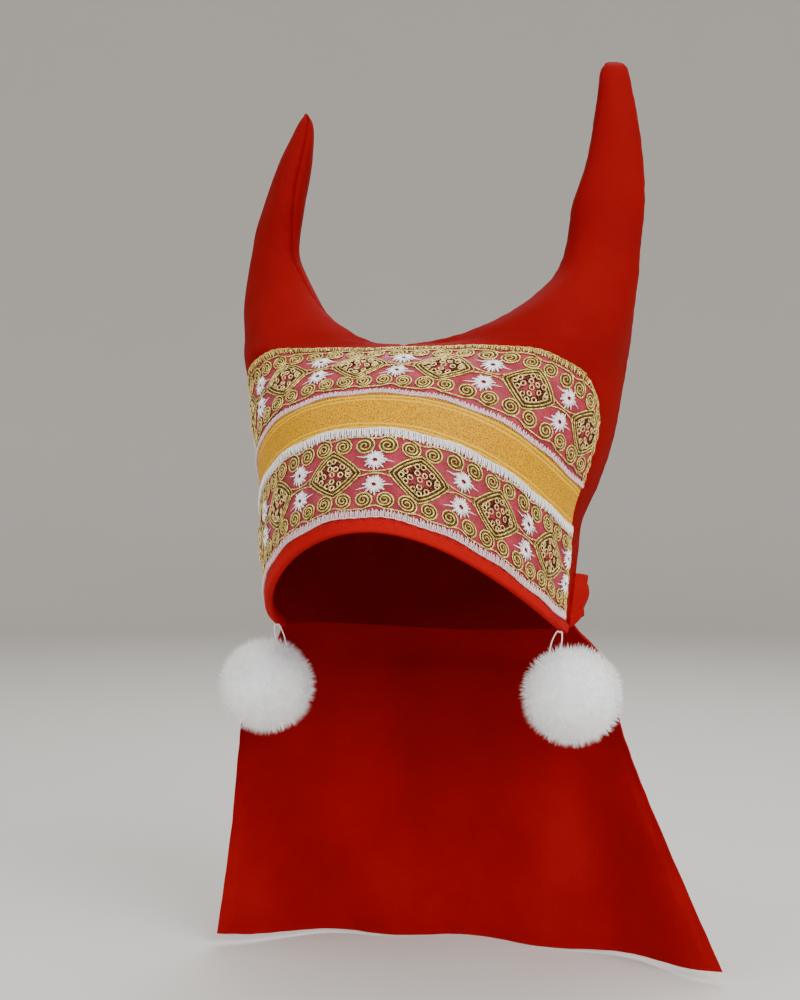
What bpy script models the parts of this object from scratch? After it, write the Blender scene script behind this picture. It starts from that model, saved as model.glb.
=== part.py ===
import bpy
import bmesh
import numpy as np
from math import sin, cos, pi, radians

# A kichka: a horned cap of red cloth with a braided forehead panel, a nape cloth and two pompoms.
# Metres, +Z up, the front faces -Y and +X is the wearer's left.
# The origin is the middle of the head opening, level with the cap's temple corners.
# The tables are in millimetres.

MM = 0.001

# Cloth and gaps
WALL = 0.0020               # stiffened double cloth of the cap
SEAM_GAP = 0.0004           # between the front and the back piece
LIE_GAP = 0.0007            # between a trim and the cloth below it
SIDE_STEPS = 10             # facets from the middle to the side seam
BODY_STOPS = 15             # rows from the rim to the saddle
HORN_STOPS = 15             # rows from the saddle to a horn's tip

# Bands of the forehead panel, measured up the cloth from the rim
BINDING_WIDTH = 0.0058
BRAID_WIDTH = 0.0450
RIBBON_WIDTH = 0.0195
BAND_GAP = 0.0005
BRAID_THICK = 0.0014
RIBBON_THICK = 0.0010
BINDING_THICK = 0.0010
PANEL_END_LOW = 0.975       # how far the bands reach towards the side seam, at the rim
PANEL_END_HIGH = 0.86       # and at the panel's top corners
PANEL_CORNER = 0.006        # radius of those corners
HALF_GIRTH = 0.140          # of the panel from its middle to a side seam
BAND_RISE_MIDDLE = -0.0030  # the panel's top edge is flatter than the rim: it runs lower
BAND_RISE_SIDE = 0.0045     # in the middle and higher at the sides
BAND_RISE_REACH = 0.62      # across, from where it stays high

# Nape cloth
CLOTH_THICK = 0.0012
CLOTH_OVERLAP = 0.010       # sewn over the back piece's lower edge
CLOTH_COLUMNS = 28
CLOTH_ROWS = 11
FOLD_COUNT = 3.5            # soft folds across the cloth
FOLD_DEPTH = 0.0050         # at the hem

# Ties
TIE_WIDTH = 0.018           # at the knot
TIE_START_WIDTH = 0.022     # where it is sewn into the side seam
TIE_PUFF = 0.0035           # how far it stands off behind the temple
TIE_THICK = 0.0010
TIE_CLEARANCE = 0.0008      # over the nape cloth, whose facets are coarser
TIE_FROM = 0.975            # across the back, at the side seam
TIE_RUN = 0.835             # and how far from there to the knot
TIE_START_HIGH = 0.0205     # of its middle above the cap's lower edge, at the side seam
TIE_DROP = 0.0092           # and how far it sinks behind the temple
TIE_COLUMNS = 20
KNOT_SIZE = (0.026, 0.012, 0.020)
TAIL_LENGTH = 0.060

# Pompoms and the loops they hang on
POMPOM_RADIUS = 0.0270      # to the tips of the fur
LOCK_LENGTH = 0.0035
POMPOM_CENTRES = {"left": (0.0835, -0.0050, -0.0335), "right": (-0.0910, -0.0050, -0.0340)}
LOOP_RADIUS = 0.0005
LOOP_SPREAD = 0.0045
LOOP_SINK = {"left": 0.0, "right": 0.0014}     # how far its ends reach in between the locks

# The cap below the horns: side seam, middle of the front, middle of the back.
# fill: how squarely the front turns towards the side; lift: how long the row stays high there.
BODY_COLUMNS = ("left_x", "right_x", "side_y", "side_z", "front_y", "front_z", "back_y", "back_z",
                "fill_x", "fill_y", "front_lift", "back_lift")
CAP_BODY = (
    (79.5, 84.0, 0.0, 0.0, -100.0, 56.0, 90.0, -8.0, 0.55, 0.55, 13.5, 0.0),
    (81.5, 86.0, 2.0, 20.0, -99.5, 71.5, 97.0, 26.0, 0.55, 0.55, 16.0, 3.0),
    (83.5, 87.5, 4.0, 38.0, -97.5, 88.5, 99.0, 60.0, 0.56, 0.56, 20.0, 8.0),
    (86.0, 88.5, 6.0, 57.0, -94.0, 106.5, 92.0, 94.0, 0.58, 0.60, 23.0, 16.0),
    (94.5, 91.0, 8.0, 76.5, -86.0, 124.5, 72.0, 124.0, 0.60, 0.66, 27.0, 26.0),
    (101.5, 94.5, 10.0, 96.0, -70.0, 139.0, 38.0, 146.0, 0.64, 0.80, 30.0, 36.0),
    (106.0, 98.0, 11.0, 117.0, -49.5, 149.0, 2.0, 155.0, 0.68, 1.05, 32.0, 34.0),
)

# A horn from the saddle to the tip: its inner seam, its outer seam and how far the cloth
# puffs out on each side of the line between them.
HORN_COLUMNS = ("inner_x", "inner_y", "inner_z", "outer_x", "outer_y", "outer_z", "puff")
HORNS = {
    "left": (
        (0.0, -38.0, 152.5, 108.5, 12.0, 134.0, 20.0),
        (18.0, -37.0, 154.5, 111.0, 12.5, 148.0, 20.0),
        (36.0, -33.5, 160.0, 113.0, 12.0, 163.0, 19.5),
        (53.0, -27.0, 168.5, 114.5, 11.0, 177.0, 18.5),
        (67.0, -18.5, 179.5, 116.0, 10.0, 190.0, 17.0),
        (76.5, -11.0, 191.5, 117.0, 9.0, 203.0, 14.5),
        (81.5, -8.5, 207.5, 118.8, 8.0, 216.0, 13.0),
        (84.0, -8.0, 227.0, 120.0, 7.0, 231.0, 12.0),
        (90.0, -6.5, 245.0, 119.5, 6.0, 248.0, 10.5),
        (93.7, -5.0, 263.0, 117.8, 5.0, 265.0, 9.0),
        (96.0, -4.0, 280.5, 115.3, 4.0, 281.0, 7.5),
        (97.5, -3.5, 293.0, 113.0, 3.0, 293.5, 6.0),
        (99.5, -2.5, 300.0, 110.5, 2.5, 300.0, 4.0),
        (102.0, -1.5, 303.0, 108.0, 1.5, 303.0, 0.0),
    ),
    "right": (
        (0.0, -38.0, 152.5, 100.5, 12.0, 134.0, 20.0),
        (15.0, -37.0, 154.0, 102.0, 12.0, 148.5, 20.0),
        (31.0, -33.0, 161.0, 103.0, 11.0, 163.0, 18.5),
        (46.5, -25.0, 170.7, 104.0, 9.5, 176.0, 16.5),
        (58.1, -17.5, 182.0, 104.5, 9.5, 189.0, 15.0),
        (66.0, -13.3, 193.0, 104.0, 11.3, 199.0, 13.0),
        (73.0, -10.0, 206.0, 103.0, 14.0, 210.0, 11.5),
        (74.0, -9.5, 219.0, 101.6, 17.5, 222.0, 11.3),
        (73.1, -10.6, 233.0, 96.4, 18.6, 235.0, 11.5),
        (71.8, -9.4, 248.0, 89.6, 17.4, 249.0, 10.5),
        (69.6, -6.5, 262.0, 83.6, 15.5, 263.0, 9.0),
        (68.2, -3.0, 275.0, 78.2, 13.0, 275.5, 6.5),
        (68.1, -0.1, 284.0, 74.5, 10.1, 284.0, 3.8),
        (69.5, 2.9, 289.5, 72.1, 7.1, 289.5, 0.0),
    ),
}
SADDLE = len(CAP_BODY)      # the first horn row
ROUND_FROM = 5              # horn row from which the section is a plain oval
# A saddle row is drawn out from its inner and its outer seam towards these y, which change
# from row to row; reach is the share of the way from the inner seam.
FRONT_DRAW = {"inner_y": -60.0, "outer_y": -58.0, "change": 5.5, "reach": 0.65}
BACK_DRAW = {"inner_y": 13.0, "outer_y": 29.0, "change": 2.5, "reach": 0.55}
BACK_DRAW_LEAST = 15.0      # so that the back leaves the side seam rearwards on every row

# Nape cloth: its edges and its middle, from the seam down to the hem
NAPE_COLUMNS = ("left_x", "left_y", "right_x", "right_y", "middle_y", "edge_z", "middle_z")
NAPE = (
    (93.0, 22.0, -95.0, 18.0, 93.5, -17.0, -22.0),
    (98.0, 38.0, -112.0, 26.0, 91.0, -40.0, -43.0),
    (102.0, 52.0, -122.0, 32.0, 90.0, -64.0, -66.0),
    (114.0, 59.0, -127.0, 36.0, 91.0, -98.0, -100.0),
    (131.0, 60.0, -133.0, 40.0, 96.0, -138.0, -142.0),
    (156.0, 56.0, -143.0, 44.0, 102.0, -192.0, -198.0),
)

SIDES = {"left": 1.0, "right": -1.0}    # the wearer's sides
FRONT = -1.0
BACK = 1.0

MATERIALS = {
    "cap_cloth": ((0.42, 0.008, 0.010), 0.75, 0.0),
    "binding_cloth": ((0.60, 0.012, 0.018), 0.60, 0.0),
    "lace_braid": ((0.55, 0.30, 0.16), 0.45, 0.3),
    "yellow_ribbon": ((0.68, 0.40, 0.07), 0.45, 0.0),
    "white_fur": ((0.86, 0.84, 0.85), 0.90, 0.0),
    "white_thread": ((0.80, 0.74, 0.74), 0.70, 0.0),
}


def clear_scene():
    for thing in list(bpy.data.objects):
        bpy.data.objects.remove(thing, do_unlink=True)


def make_material(name):
    colour, roughness, metallic = MATERIALS[name]
    material = bpy.data.materials.new(name)
    material.use_nodes = True
    shader = material.node_tree.nodes["Principled BSDF"]
    shader.inputs["Base Color"].default_value = (*colour, 1.0)
    shader.inputs["Roughness"].default_value = roughness
    shader.inputs["Metallic"].default_value = metallic
    return material


def named(row, columns):
    return dict(zip(columns, row))


def smoothstep(x):
    x = min(max(x, 0.0), 1.0)
    return x * x * (3.0 - 2.0 * x)


def bezier(handles, s):
    r = 1.0 - s
    return (r ** 3 * handles[0] + 3 * r * r * s * handles[1]
            + 3 * r * s * s * handles[2] + s ** 3 * handles[3])


def through(rows, position):
    # a smooth curve through a list of rows, at a fractional row number
    last = len(rows) - 1
    k = min(int(position), last - 1)
    w = position - k
    a, b, c, d = rows[max(k - 1, 0)], rows[k], rows[k + 1], rows[min(k + 2, last)]
    return 0.5 * (2 * b + (c - a) * w + (2 * a - 5 * b + 4 * c - d) * w * w
                  + (3 * b - a - 3 * c + d) * w ** 3)


def cap_row(rows, position):
    # the cap's rows turn smoothly below the saddle and again above it
    if position <= SADDLE:
        return through(rows[:SADDLE + 1], position)
    return through(rows[SADDLE:], position - SADDLE)


def body_row(row, side, face):
    v = named(row, BODY_COLUMNS)
    y, z = (v["front_y"], v["front_z"]) if face == FRONT else (v["back_y"], v["back_z"])
    lift = v["front_lift"] if face == FRONT else v["back_lift"]
    fill_x, fill_y = (v["fill_x"], v["fill_y"]) if face == FRONT else (0.55, 0.55)
    middle = np.array((0.0, y, z))
    side_x = v["left_x"] if side > 0.0 else v["right_x"]
    seam = np.array((side * side_x, v["side_y"], v["side_z"]))
    draw_y = fill_y * (y - seam[1])
    if face == BACK:
        draw_y = max(draw_y, BACK_DRAW_LEAST)
    return (middle,
            middle + (fill_x * seam[0], 0.0, 0.0),
            seam + (0.0, draw_y, lift),
            seam)


def horn_row(row, number, side, face):
    v = named(row, HORN_COLUMNS)
    inner = np.array((side * v["inner_x"], v["inner_y"], v["inner_z"]))
    outer = np.array((side * v["outer_x"], v["outer_y"], v["outer_z"]))
    chord = outer - inner
    out = face * side * np.array((-chord[1], chord[0], 0.0)) / np.hypot(chord[0], chord[1])
    oval = smoothstep(number / ROUND_FROM)
    draw = FRONT_DRAW if face == FRONT else BACK_DRAW
    height = max(inner[2], outer[2])
    inner_aim = np.array((outer[0], draw["inner_y"] + draw["change"] * number, height))
    outer_aim = np.array((outer[0], draw["outer_y"] + draw["change"] * number, height))
    puff = v["puff"] * 4.0 / 3.0 * out
    return (inner,
            inner + (1.0 - oval) * draw["reach"] * (inner_aim - inner) + oval * puff,
            outer + (1.0 - oval) * (outer_aim - outer) + oval * puff,
            outer)


def cap_rows(side_name, face):
    side = SIDES[side_name]
    rows = [body_row(row, side, face) for row in CAP_BODY]
    rows += [horn_row(row, k, side, face) for k, row in enumerate(HORNS[side_name])]
    return [np.array(row) * MM for row in rows]


def row_stops():
    last = SADDLE + len(HORNS["left"]) - 1
    body = np.linspace(0, SADDLE, BODY_STOPS)
    horn = np.linspace(SADDLE, last, HORN_STOPS + 1)[1:]
    return np.concatenate((body, horn))


def surface_grid(rows, stops, fractions):
    return np.array([[bezier(cap_row(rows, t), s) for s in fractions] for t in stops])


def unit(vectors):
    return vectors / np.maximum(np.linalg.norm(vectors, axis=-1, keepdims=True), 1e-12)


def grid_normals(grid, side, face):
    along = np.gradient(grid, axis=1)
    up = np.gradient(grid, axis=0)
    return unit(np.cross(along, up) * (-side * face))


class CapShape:
    # the outer surface of both pieces as grids, with shared normals along their seams

    def __init__(self):
        self.stops = row_stops()
        self.fractions = np.linspace(0.0, 1.0, SIDE_STEPS + 1)
        self.saddle_row = BODY_STOPS - 1
        self.rows = {}
        self.outside = {}
        self.normals = {}
        for side_name in SIDES:
            for face in (FRONT, BACK):
                rows = cap_rows(side_name, face)
                self.rows[side_name, face] = rows
                self.outside[side_name, face] = surface_grid(rows, self.stops, self.fractions)
        self.join_halves()
        for (side_name, face), grid in self.outside.items():
            self.normals[side_name, face] = grid_normals(grid, SIDES[side_name], face)
        for side_name in SIDES:
            self.share_seams(side_name)
        self.share_middle()

    def join_halves(self):
        middle = slice(0, self.saddle_row + 1)
        for face in (FRONT, BACK):
            line = sum(self.outside[side_name, face][middle, 0] for side_name in SIDES) / 2.0
            line[:, 0] = 0.0
            for side_name in SIDES:
                self.outside[side_name, face][middle, 0] = line

    def share_seams(self, side_name):
        front = self.normals[side_name, FRONT]
        back = self.normals[side_name, BACK]
        for rows, column in ((slice(None), -1), (slice(self.saddle_row, None), 0)):
            shared = unit(front[rows, column] + back[rows, column])
            front[rows, column] = shared
            back[rows, column] = shared

    def share_middle(self):
        middle = slice(0, self.saddle_row + 1)
        for face in (FRONT, BACK):
            shared = sum(self.normals[side_name, face][middle, 0] for side_name in SIDES)
            shared[:, 0] = 0.0
            for side_name in SIDES:
                self.normals[side_name, face][middle, 0] = unit(shared)
        crest = sum(normals[self.saddle_row, 0] for normals in self.normals.values())
        for normals in self.normals.values():
            normals[self.saddle_row, 0] = unit(crest)

    def inside(self, side_name, face):
        # the wall's inner skin, which lies flat on the seam plane where a horn is too thin
        outside = self.outside[side_name, face]
        skin = outside - WALL * self.normals[side_name, face]
        for k in range(self.saddle_row + 5, len(outside)):
            plane = self.seam_plane(side_name, face, k)
            height = (skin[k] - outside[k, 0]) @ plane
            skin[k] += np.outer(np.maximum(0.0, -height), plane)
        skin[-1, :, 2] -= WALL
        return skin

    def seam_plane(self, side_name, face, k):
        grid = self.outside[side_name, face]
        chord = grid[k, -1] - grid[k, 0]
        return face * SIDES[side_name] * unit(np.array((-chord[1], chord[0], 0.0)))

    def open_seams(self, grid, side_name, face):
        # draws the seam vertices back by half the seam gap
        grid = grid.copy()
        for k in range(len(grid)):
            step = np.array((0.0, face, 0.0))
            if k > self.saddle_row + 3:
                step = self.seam_plane(side_name, face, k)
            step = step * SEAM_GAP * 0.5
            grid[k, -1] += step
            if k == len(grid) - 1:
                grid[k, :-1] += step
            elif k >= self.saddle_row:
                grid[k, 0] += step
        return grid


def cap_piece(name, cap, face, material, collection):
    # a loft between unlike sections: a rounded rim, two horns and the saddle between them
    mesh = bmesh.new()
    for side_name, side in SIDES.items():
        skins = []
        for skin in (cap.outside[side_name, face], cap.inside(side_name, face)):
            opened = cap.open_seams(skin, side_name, face)
            skins.append([[mesh.verts.new(point) for point in row] for row in opened])
        outer, inner = skins
        rows, columns = len(outer), len(outer[0])
        forward = side * face < 0.0

        def quad(a, b, c, d):
            mesh.faces.new((a, b, c, d) if forward else (d, c, b, a))

        for k in range(rows - 1):
            for c in range(columns - 1):
                quad(outer[k][c], outer[k][c + 1], outer[k + 1][c + 1], outer[k + 1][c])
                quad(inner[k + 1][c], inner[k + 1][c + 1], inner[k][c + 1], inner[k][c])
            quad(outer[k][-1], inner[k][-1], inner[k + 1][-1], outer[k + 1][-1])
            if k >= cap.saddle_row:
                quad(outer[k + 1][0], inner[k + 1][0], inner[k][0], outer[k][0])
        for c in range(columns - 1):
            quad(outer[0][c + 1], outer[0][c], inner[0][c], inner[0][c + 1])
            quad(outer[-1][c], outer[-1][c + 1], inner[-1][c + 1], inner[-1][c])
    bmesh.ops.remove_doubles(mesh, verts=mesh.verts, dist=1e-6)
    return finish_mesh(name, mesh, material, collection)


def finish_mesh(name, mesh, material, collection, smooth=True):
    data = bpy.data.meshes.new(name)
    mesh.to_mesh(data)
    mesh.free()
    data.materials.append(material)
    if smooth:
        data.shade_smooth()
        data.set_sharp_from_angle(angle=radians(40))
    thing = bpy.data.objects.new(name, data)
    collection.objects.link(thing)
    return thing


class PanelRuler:
    # places points on the cap's front by the distance up the cloth from the rim

    SAMPLES = 60

    def __init__(self, cap, face=FRONT):
        self.cap = cap
        self.face = face
        self.ruled = {}

    def ruler(self, side_name, s):
        key = (side_name, round(s, 6))
        if key not in self.ruled:
            stops = np.linspace(0.0, SADDLE, self.SAMPLES)
            rows = self.cap.rows[side_name, self.face]
            line = np.array([bezier(cap_row(rows, t), s) for t in stops])
            steps = np.linalg.norm(np.diff(line, axis=0), axis=1)
            self.ruled[key] = (stops, np.concatenate(((0.0,), np.cumsum(steps))))
        return self.ruled[key]

    def point(self, across, height):
        # across runs from -1 at the right seam to 1 at the left one
        side_name = "left" if across >= 0.0 else "right"
        stops, lengths = self.ruler(side_name, abs(across))
        t = np.interp(height, lengths, stops)
        return bezier(cap_row(self.cap.rows[side_name, self.face], t), abs(across))

    def frame(self, across, height, step=0.0008):
        here = self.point(across, height)
        sideways = self.point(min(across + 0.01, 1.0), height) - self.point(across - 0.01, height)
        upward = self.point(across, height + step) - self.point(across, max(height - step, 0.0))
        normal = unit(np.cross(sideways, upward)) * -self.face
        return here, unit(upward), normal


def panel_end(height):
    total = BINDING_WIDTH + 2 * BRAID_WIDTH + RIBBON_WIDTH
    end = PANEL_END_LOW + (PANEL_END_HIGH - PANEL_END_LOW) * (height / total) ** 1.5
    into = min(max((height - total + PANEL_CORNER) / PANEL_CORNER, 0.0), 1.0)
    cut = PANEL_CORNER * (1.0 - (1.0 - into * into) ** 0.5)
    return end - cut / HALF_GIRTH


def band_rise(across, height):
    share = (height - BINDING_WIDTH) / (2 * BRAID_WIDTH + RIBBON_WIDTH)
    aside = smoothstep(abs(across) / BAND_RISE_REACH)
    return share * (BAND_RISE_MIDDLE + (BAND_RISE_SIDE - BAND_RISE_MIDDLE) * aside)


def shaped_grid(name, columns, rows, place, thickness, material, collection, flip=False):
    # a grid whose square from -1 to 1 is mapped by place(u, v), thickened outwards
    bpy.ops.mesh.primitive_grid_add(x_subdivisions=columns, y_subdivisions=rows, size=2.0)
    thing = bpy.context.object
    thing.name = name
    thing.data.name = name
    for vertex in thing.data.vertices:
        vertex.co = place(vertex.co.x, vertex.co.y)
    if flip:
        thing.data.flip_normals()
    thing.data.materials.append(material)
    thing.data.shade_smooth()
    for owner in list(thing.users_collection):
        owner.objects.unlink(thing)
    collection.objects.link(thing)
    wall = thing.modifiers.new("thickness", "SOLIDIFY")
    wall.thickness = thickness
    wall.offset = 1.0
    wall.use_even_offset = False
    return thing


def panel_band(name, ruler, low, high, thickness, material, collection):
    def place(u, v):
        height = low + (high - low) * (v + 1.0) / 2.0
        across = u * panel_end(height)
        here, _, normal = ruler.frame(across, height + band_rise(across, height))
        return here + normal * LIE_GAP
    return shaped_grid(name, 2 * SIDE_STEPS + 8, 4, place, thickness, material, collection)


def rim_binding(name, ruler, material, collection):
    # a strip folded round the rim: its profile swept along the edge of the front piece
    gap, thick, width = LIE_GAP, BINDING_THICK, BINDING_WIDTH
    inside = -(WALL + gap)
    profile = ((gap, width), (gap + thick, width), (gap + thick, -gap - thick),
               (inside - thick, -gap - thick), (inside - thick, width), (inside, width),
               (inside, -gap), (gap, -gap))
    mesh = bmesh.new()
    rings = []
    marks = np.linspace(-1.0, 1.0, 2 * SIDE_STEPS + 1)
    marks[0] += 0.006
    marks[-1] -= 0.006
    for across in marks:
        here, up, normal = ruler.frame(across, 0.0)
        rings.append([mesh.verts.new(here + normal * out + up * rise) for out, rise in profile])
    count = len(profile)
    for ring, following in zip(rings, rings[1:]):
        for k in range(count):
            mesh.faces.new((ring[k], following[k], following[(k + 1) % count], ring[(k + 1) % count]))
    mesh.faces.new(rings[0])
    mesh.faces.new(list(reversed(rings[-1])))
    bmesh.ops.recalc_face_normals(mesh, faces=mesh.faces)
    return finish_mesh(name, mesh, material, collection)


def nape_cloth(name, back_ruler, material, collection):
    rows = [np.array(row) for row in NAPE]
    seam_rows = 2

    def place(u, v):
        down = (1.0 - v) / 2.0 * CLOTH_ROWS
        if down <= seam_rows:
            height = 0.003 + CLOTH_OVERLAP * (1.0 - down / seam_rows)
            here, _, normal = back_ruler.frame(u * 0.94, height)
            return here + normal * LIE_GAP
        position = max(down - seam_rows - 1, 0.0) / (CLOTH_ROWS - seam_rows - 1) * (len(rows) - 1)
        v = named(through(rows, position), NAPE_COLUMNS)
        side_x, side_y = (v["left_x"], v["left_y"]) if u >= 0.0 else (v["right_x"], v["right_y"])
        s = abs(u)
        hang = position / (len(rows) - 1)
        round_x = sin(s * pi / 2.0)
        round_y = 1.0 - cos(s * pi / 2.0)
        x = side_x * (round_x + (s - round_x) * hang * 0.8)
        y = v["middle_y"] + (side_y - v["middle_y"]) * (round_y + (s * s - round_y) * hang)
        z = v["middle_z"] + (v["edge_z"] - v["middle_z"]) * s * s
        fold = cos(u * pi * FOLD_COUNT) * FOLD_DEPTH * hang ** 1.3
        return np.array((x * MM, y * MM + fold, z * MM))

    return shaped_grid(name, CLOTH_COLUMNS, CLOTH_ROWS, place, CLOTH_THICK, material,
                       collection, flip=True)


def tie(name, side_name, back_ruler, material, collection):
    # a flat strip from the temple corner round the back to the knot
    side = SIDES[side_name]
    stand_off = CLOTH_THICK + 2 * LIE_GAP + TIE_CLEARANCE

    def place(u, v):
        along = (1.0 - u) / 2.0
        across = side * (TIE_FROM - along * TIE_RUN)
        gather = smoothstep(along / 0.5)
        width = TIE_START_WIDTH + (TIE_WIDTH - TIE_START_WIDTH) * gather
        middle = TIE_START_HIGH - TIE_DROP * gather
        here, _, normal = back_ruler.frame(across, middle + v * width / 2.0)
        puff = TIE_PUFF * smoothstep(along / 0.09) * smoothstep((0.45 - along) / 0.33)
        return here + normal * (stand_off + puff)

    return shaped_grid(name, TIE_COLUMNS, 3, place, TIE_THICK, material, collection,
                       flip=side_name == "left")


def tie_knot(name, back_ruler, material, collection):
    # the knot with its two tails, one soft lump of folded strip
    here, _, normal = back_ruler.frame(0.0, 0.010)
    centre = here + normal * (KNOT_SIZE[1] / 2.0 + CLOTH_THICK + 3 * LIE_GAP)
    bpy.ops.mesh.primitive_cube_add(size=1.0)
    knot = bpy.context.object
    knot.name = name
    knot.data.name = name
    mesh = bmesh.new()
    mesh.from_mesh(knot.data)
    bmesh.ops.scale(mesh, vec=KNOT_SIZE, verts=mesh.verts)
    bmesh.ops.subdivide_edges(mesh, edges=mesh.edges[:], cuts=1, use_grid_fill=True)
    base = [face for face in mesh.faces if face.normal.z < -0.9]
    feet = {sign: [face for face in base if face.calc_center_median().x * sign > 0.0]
            for sign in (-1.0, 1.0)}
    for sign, foot in feet.items():
        drawn = bmesh.ops.extrude_face_region(mesh, geom=foot)
        bmesh.ops.delete(mesh, geom=foot, context="FACES")
        tips = [item for item in drawn["geom"] if isinstance(item, bmesh.types.BMVert)]
        middle = np.mean([tuple(vertex.co) for vertex in tips], axis=0)
        for vertex in tips:
            offset = (np.array(vertex.co) - middle) * (1.25, 0.30, 1.0)
            vertex.co = middle + offset + (sign * 0.010, 0.003, -TAIL_LENGTH * (1.0 - 0.1 * sign))
    bmesh.ops.translate(mesh, vec=centre, verts=mesh.verts)
    mesh.to_mesh(knot.data)
    mesh.free()
    knot.data.materials.append(material)
    knot.data.shade_smooth()
    for owner in list(knot.users_collection):
        owner.objects.unlink(knot)
    collection.objects.link(knot)
    soften = knot.modifiers.new("soften", "SUBSURF")
    soften.levels = 1
    soften.render_levels = 1
    return knot


def pompom(name, centre, material, collection):
    # a ball of fur: every face of a round core is drawn out to a short lock
    bpy.ops.mesh.primitive_ico_sphere_add(subdivisions=3, radius=POMPOM_RADIUS - LOCK_LENGTH)
    ball = bpy.context.object
    ball.name = name
    ball.data.name = name
    mesh = bmesh.new()
    mesh.from_mesh(ball.data)
    bmesh.ops.poke(mesh, faces=mesh.faces[:], offset=LOCK_LENGTH)
    bmesh.ops.translate(mesh, vec=centre, verts=mesh.verts)
    mesh.to_mesh(ball.data)
    mesh.free()
    ball.data.materials.append(material)
    ball.data.shade_smooth()
    for owner in list(ball.users_collection):
        owner.objects.unlink(ball)
    collection.objects.link(ball)
    return ball


def pompom_loop(name, ruler, side_name, centre, material, collection):
    # two strands from under the binding to the top of the pompom, joined as one bent thread
    side = SIDES[side_name]
    here, up, normal = ruler.frame(side * 0.93, 0.0)
    start = here - normal * WALL / 2.0 - up * (LIE_GAP + BINDING_THICK + 0.0003 + LOOP_RADIUS)
    lift = POMPOM_RADIUS + LOOP_RADIUS - LOOP_SINK[side_name]
    foot = np.array(centre) + (-side * 0.010, -0.001, (lift ** 2 - 0.010 ** 2) ** 0.5)
    spread = np.array((side * LOOP_SPREAD, 0.0, -0.0006))
    corners = (foot - spread * 0.6, 0.5 * (foot + start) - spread * 0.75, start - spread * 0.45,
               start + (0.0, 0.0, 0.0003), start + spread * 0.35,
               0.5 * (foot + start) + spread * 0.7, foot + spread * 0.5)
    curve = bpy.data.curves.new(name, "CURVE")
    curve.dimensions = "3D"
    curve.bevel_depth = LOOP_RADIUS
    curve.bevel_resolution = 1
    curve.use_fill_caps = True
    strand = curve.splines.new("POLY")
    count = 3 * (len(corners) - 1) + 1
    strand.points.add(count - 1)
    rows = [np.array(corner) for corner in corners]
    for k, point in enumerate(strand.points):
        point.co = (*through(rows, k / 3.0), 1.0)
    curve.materials.append(material)
    loop = bpy.data.objects.new(name, curve)
    collection.objects.link(loop)
    return loop


def build():
    clear_scene()
    collection = bpy.data.collections.new("kichka")
    bpy.context.scene.collection.children.link(collection)
    skin = {name: make_material(name) for name in MATERIALS}
    cap = CapShape()
    front_ruler = PanelRuler(cap, FRONT)
    back_ruler = PanelRuler(cap, BACK)

    cap_piece("cap_front", cap, FRONT, skin["cap_cloth"], collection)
    cap_piece("cap_back", cap, BACK, skin["cap_cloth"], collection)
    rim_binding("rim_binding", front_ruler, skin["binding_cloth"], collection)

    braid_low = BINDING_WIDTH + BAND_GAP
    ribbon_low = braid_low + BRAID_WIDTH
    braid_high = ribbon_low + RIBBON_WIDTH
    panel_band("lower_lace_braid", front_ruler, braid_low, ribbon_low - BAND_GAP,
               BRAID_THICK, skin["lace_braid"], collection)
    panel_band("yellow_ribbon", front_ruler, ribbon_low, braid_high - BAND_GAP,
               RIBBON_THICK, skin["yellow_ribbon"], collection)
    panel_band("upper_lace_braid", front_ruler, braid_high, braid_high + BRAID_WIDTH,
               BRAID_THICK, skin["lace_braid"], collection)

    nape_cloth("nape_cloth", back_ruler, skin["cap_cloth"], collection)
    tie("tie_left", "left", back_ruler, skin["cap_cloth"], collection)
    tie("tie_right", "right", back_ruler, skin["cap_cloth"], collection)
    tie_knot("tie_knot", back_ruler, skin["cap_cloth"], collection)
    for side_name, centre in POMPOM_CENTRES.items():
        pompom("pompom_" + side_name, centre, skin["white_fur"], collection)
        pompom_loop("pompom_loop_" + side_name, front_ruler, side_name, centre,
                    skin["white_thread"], collection)


build()
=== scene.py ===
from math import cos, pi, radians, sin, sqrt

import bmesh
import bpy
import numpy as np
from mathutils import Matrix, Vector, noise


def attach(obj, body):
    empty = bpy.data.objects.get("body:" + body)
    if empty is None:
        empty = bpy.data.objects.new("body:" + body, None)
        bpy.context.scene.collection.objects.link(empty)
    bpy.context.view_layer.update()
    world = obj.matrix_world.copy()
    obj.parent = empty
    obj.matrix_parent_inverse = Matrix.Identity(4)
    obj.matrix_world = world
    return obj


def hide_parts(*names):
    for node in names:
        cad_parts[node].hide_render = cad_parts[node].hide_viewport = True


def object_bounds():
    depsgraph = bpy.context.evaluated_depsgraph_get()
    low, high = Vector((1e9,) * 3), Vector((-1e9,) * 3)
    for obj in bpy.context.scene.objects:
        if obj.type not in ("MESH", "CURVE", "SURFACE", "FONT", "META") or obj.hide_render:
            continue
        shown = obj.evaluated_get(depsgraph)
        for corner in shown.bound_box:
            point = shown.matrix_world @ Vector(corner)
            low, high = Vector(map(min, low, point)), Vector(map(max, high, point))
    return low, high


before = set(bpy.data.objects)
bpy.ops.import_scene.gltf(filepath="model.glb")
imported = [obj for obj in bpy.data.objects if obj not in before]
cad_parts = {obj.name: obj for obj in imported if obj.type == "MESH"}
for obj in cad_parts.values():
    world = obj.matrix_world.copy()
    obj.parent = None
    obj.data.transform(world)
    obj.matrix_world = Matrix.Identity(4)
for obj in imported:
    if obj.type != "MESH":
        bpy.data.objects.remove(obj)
cadBox = [[float(x) for x in corner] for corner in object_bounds()]
bpy.ops.object.select_all(action="DESELECT")

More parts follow.
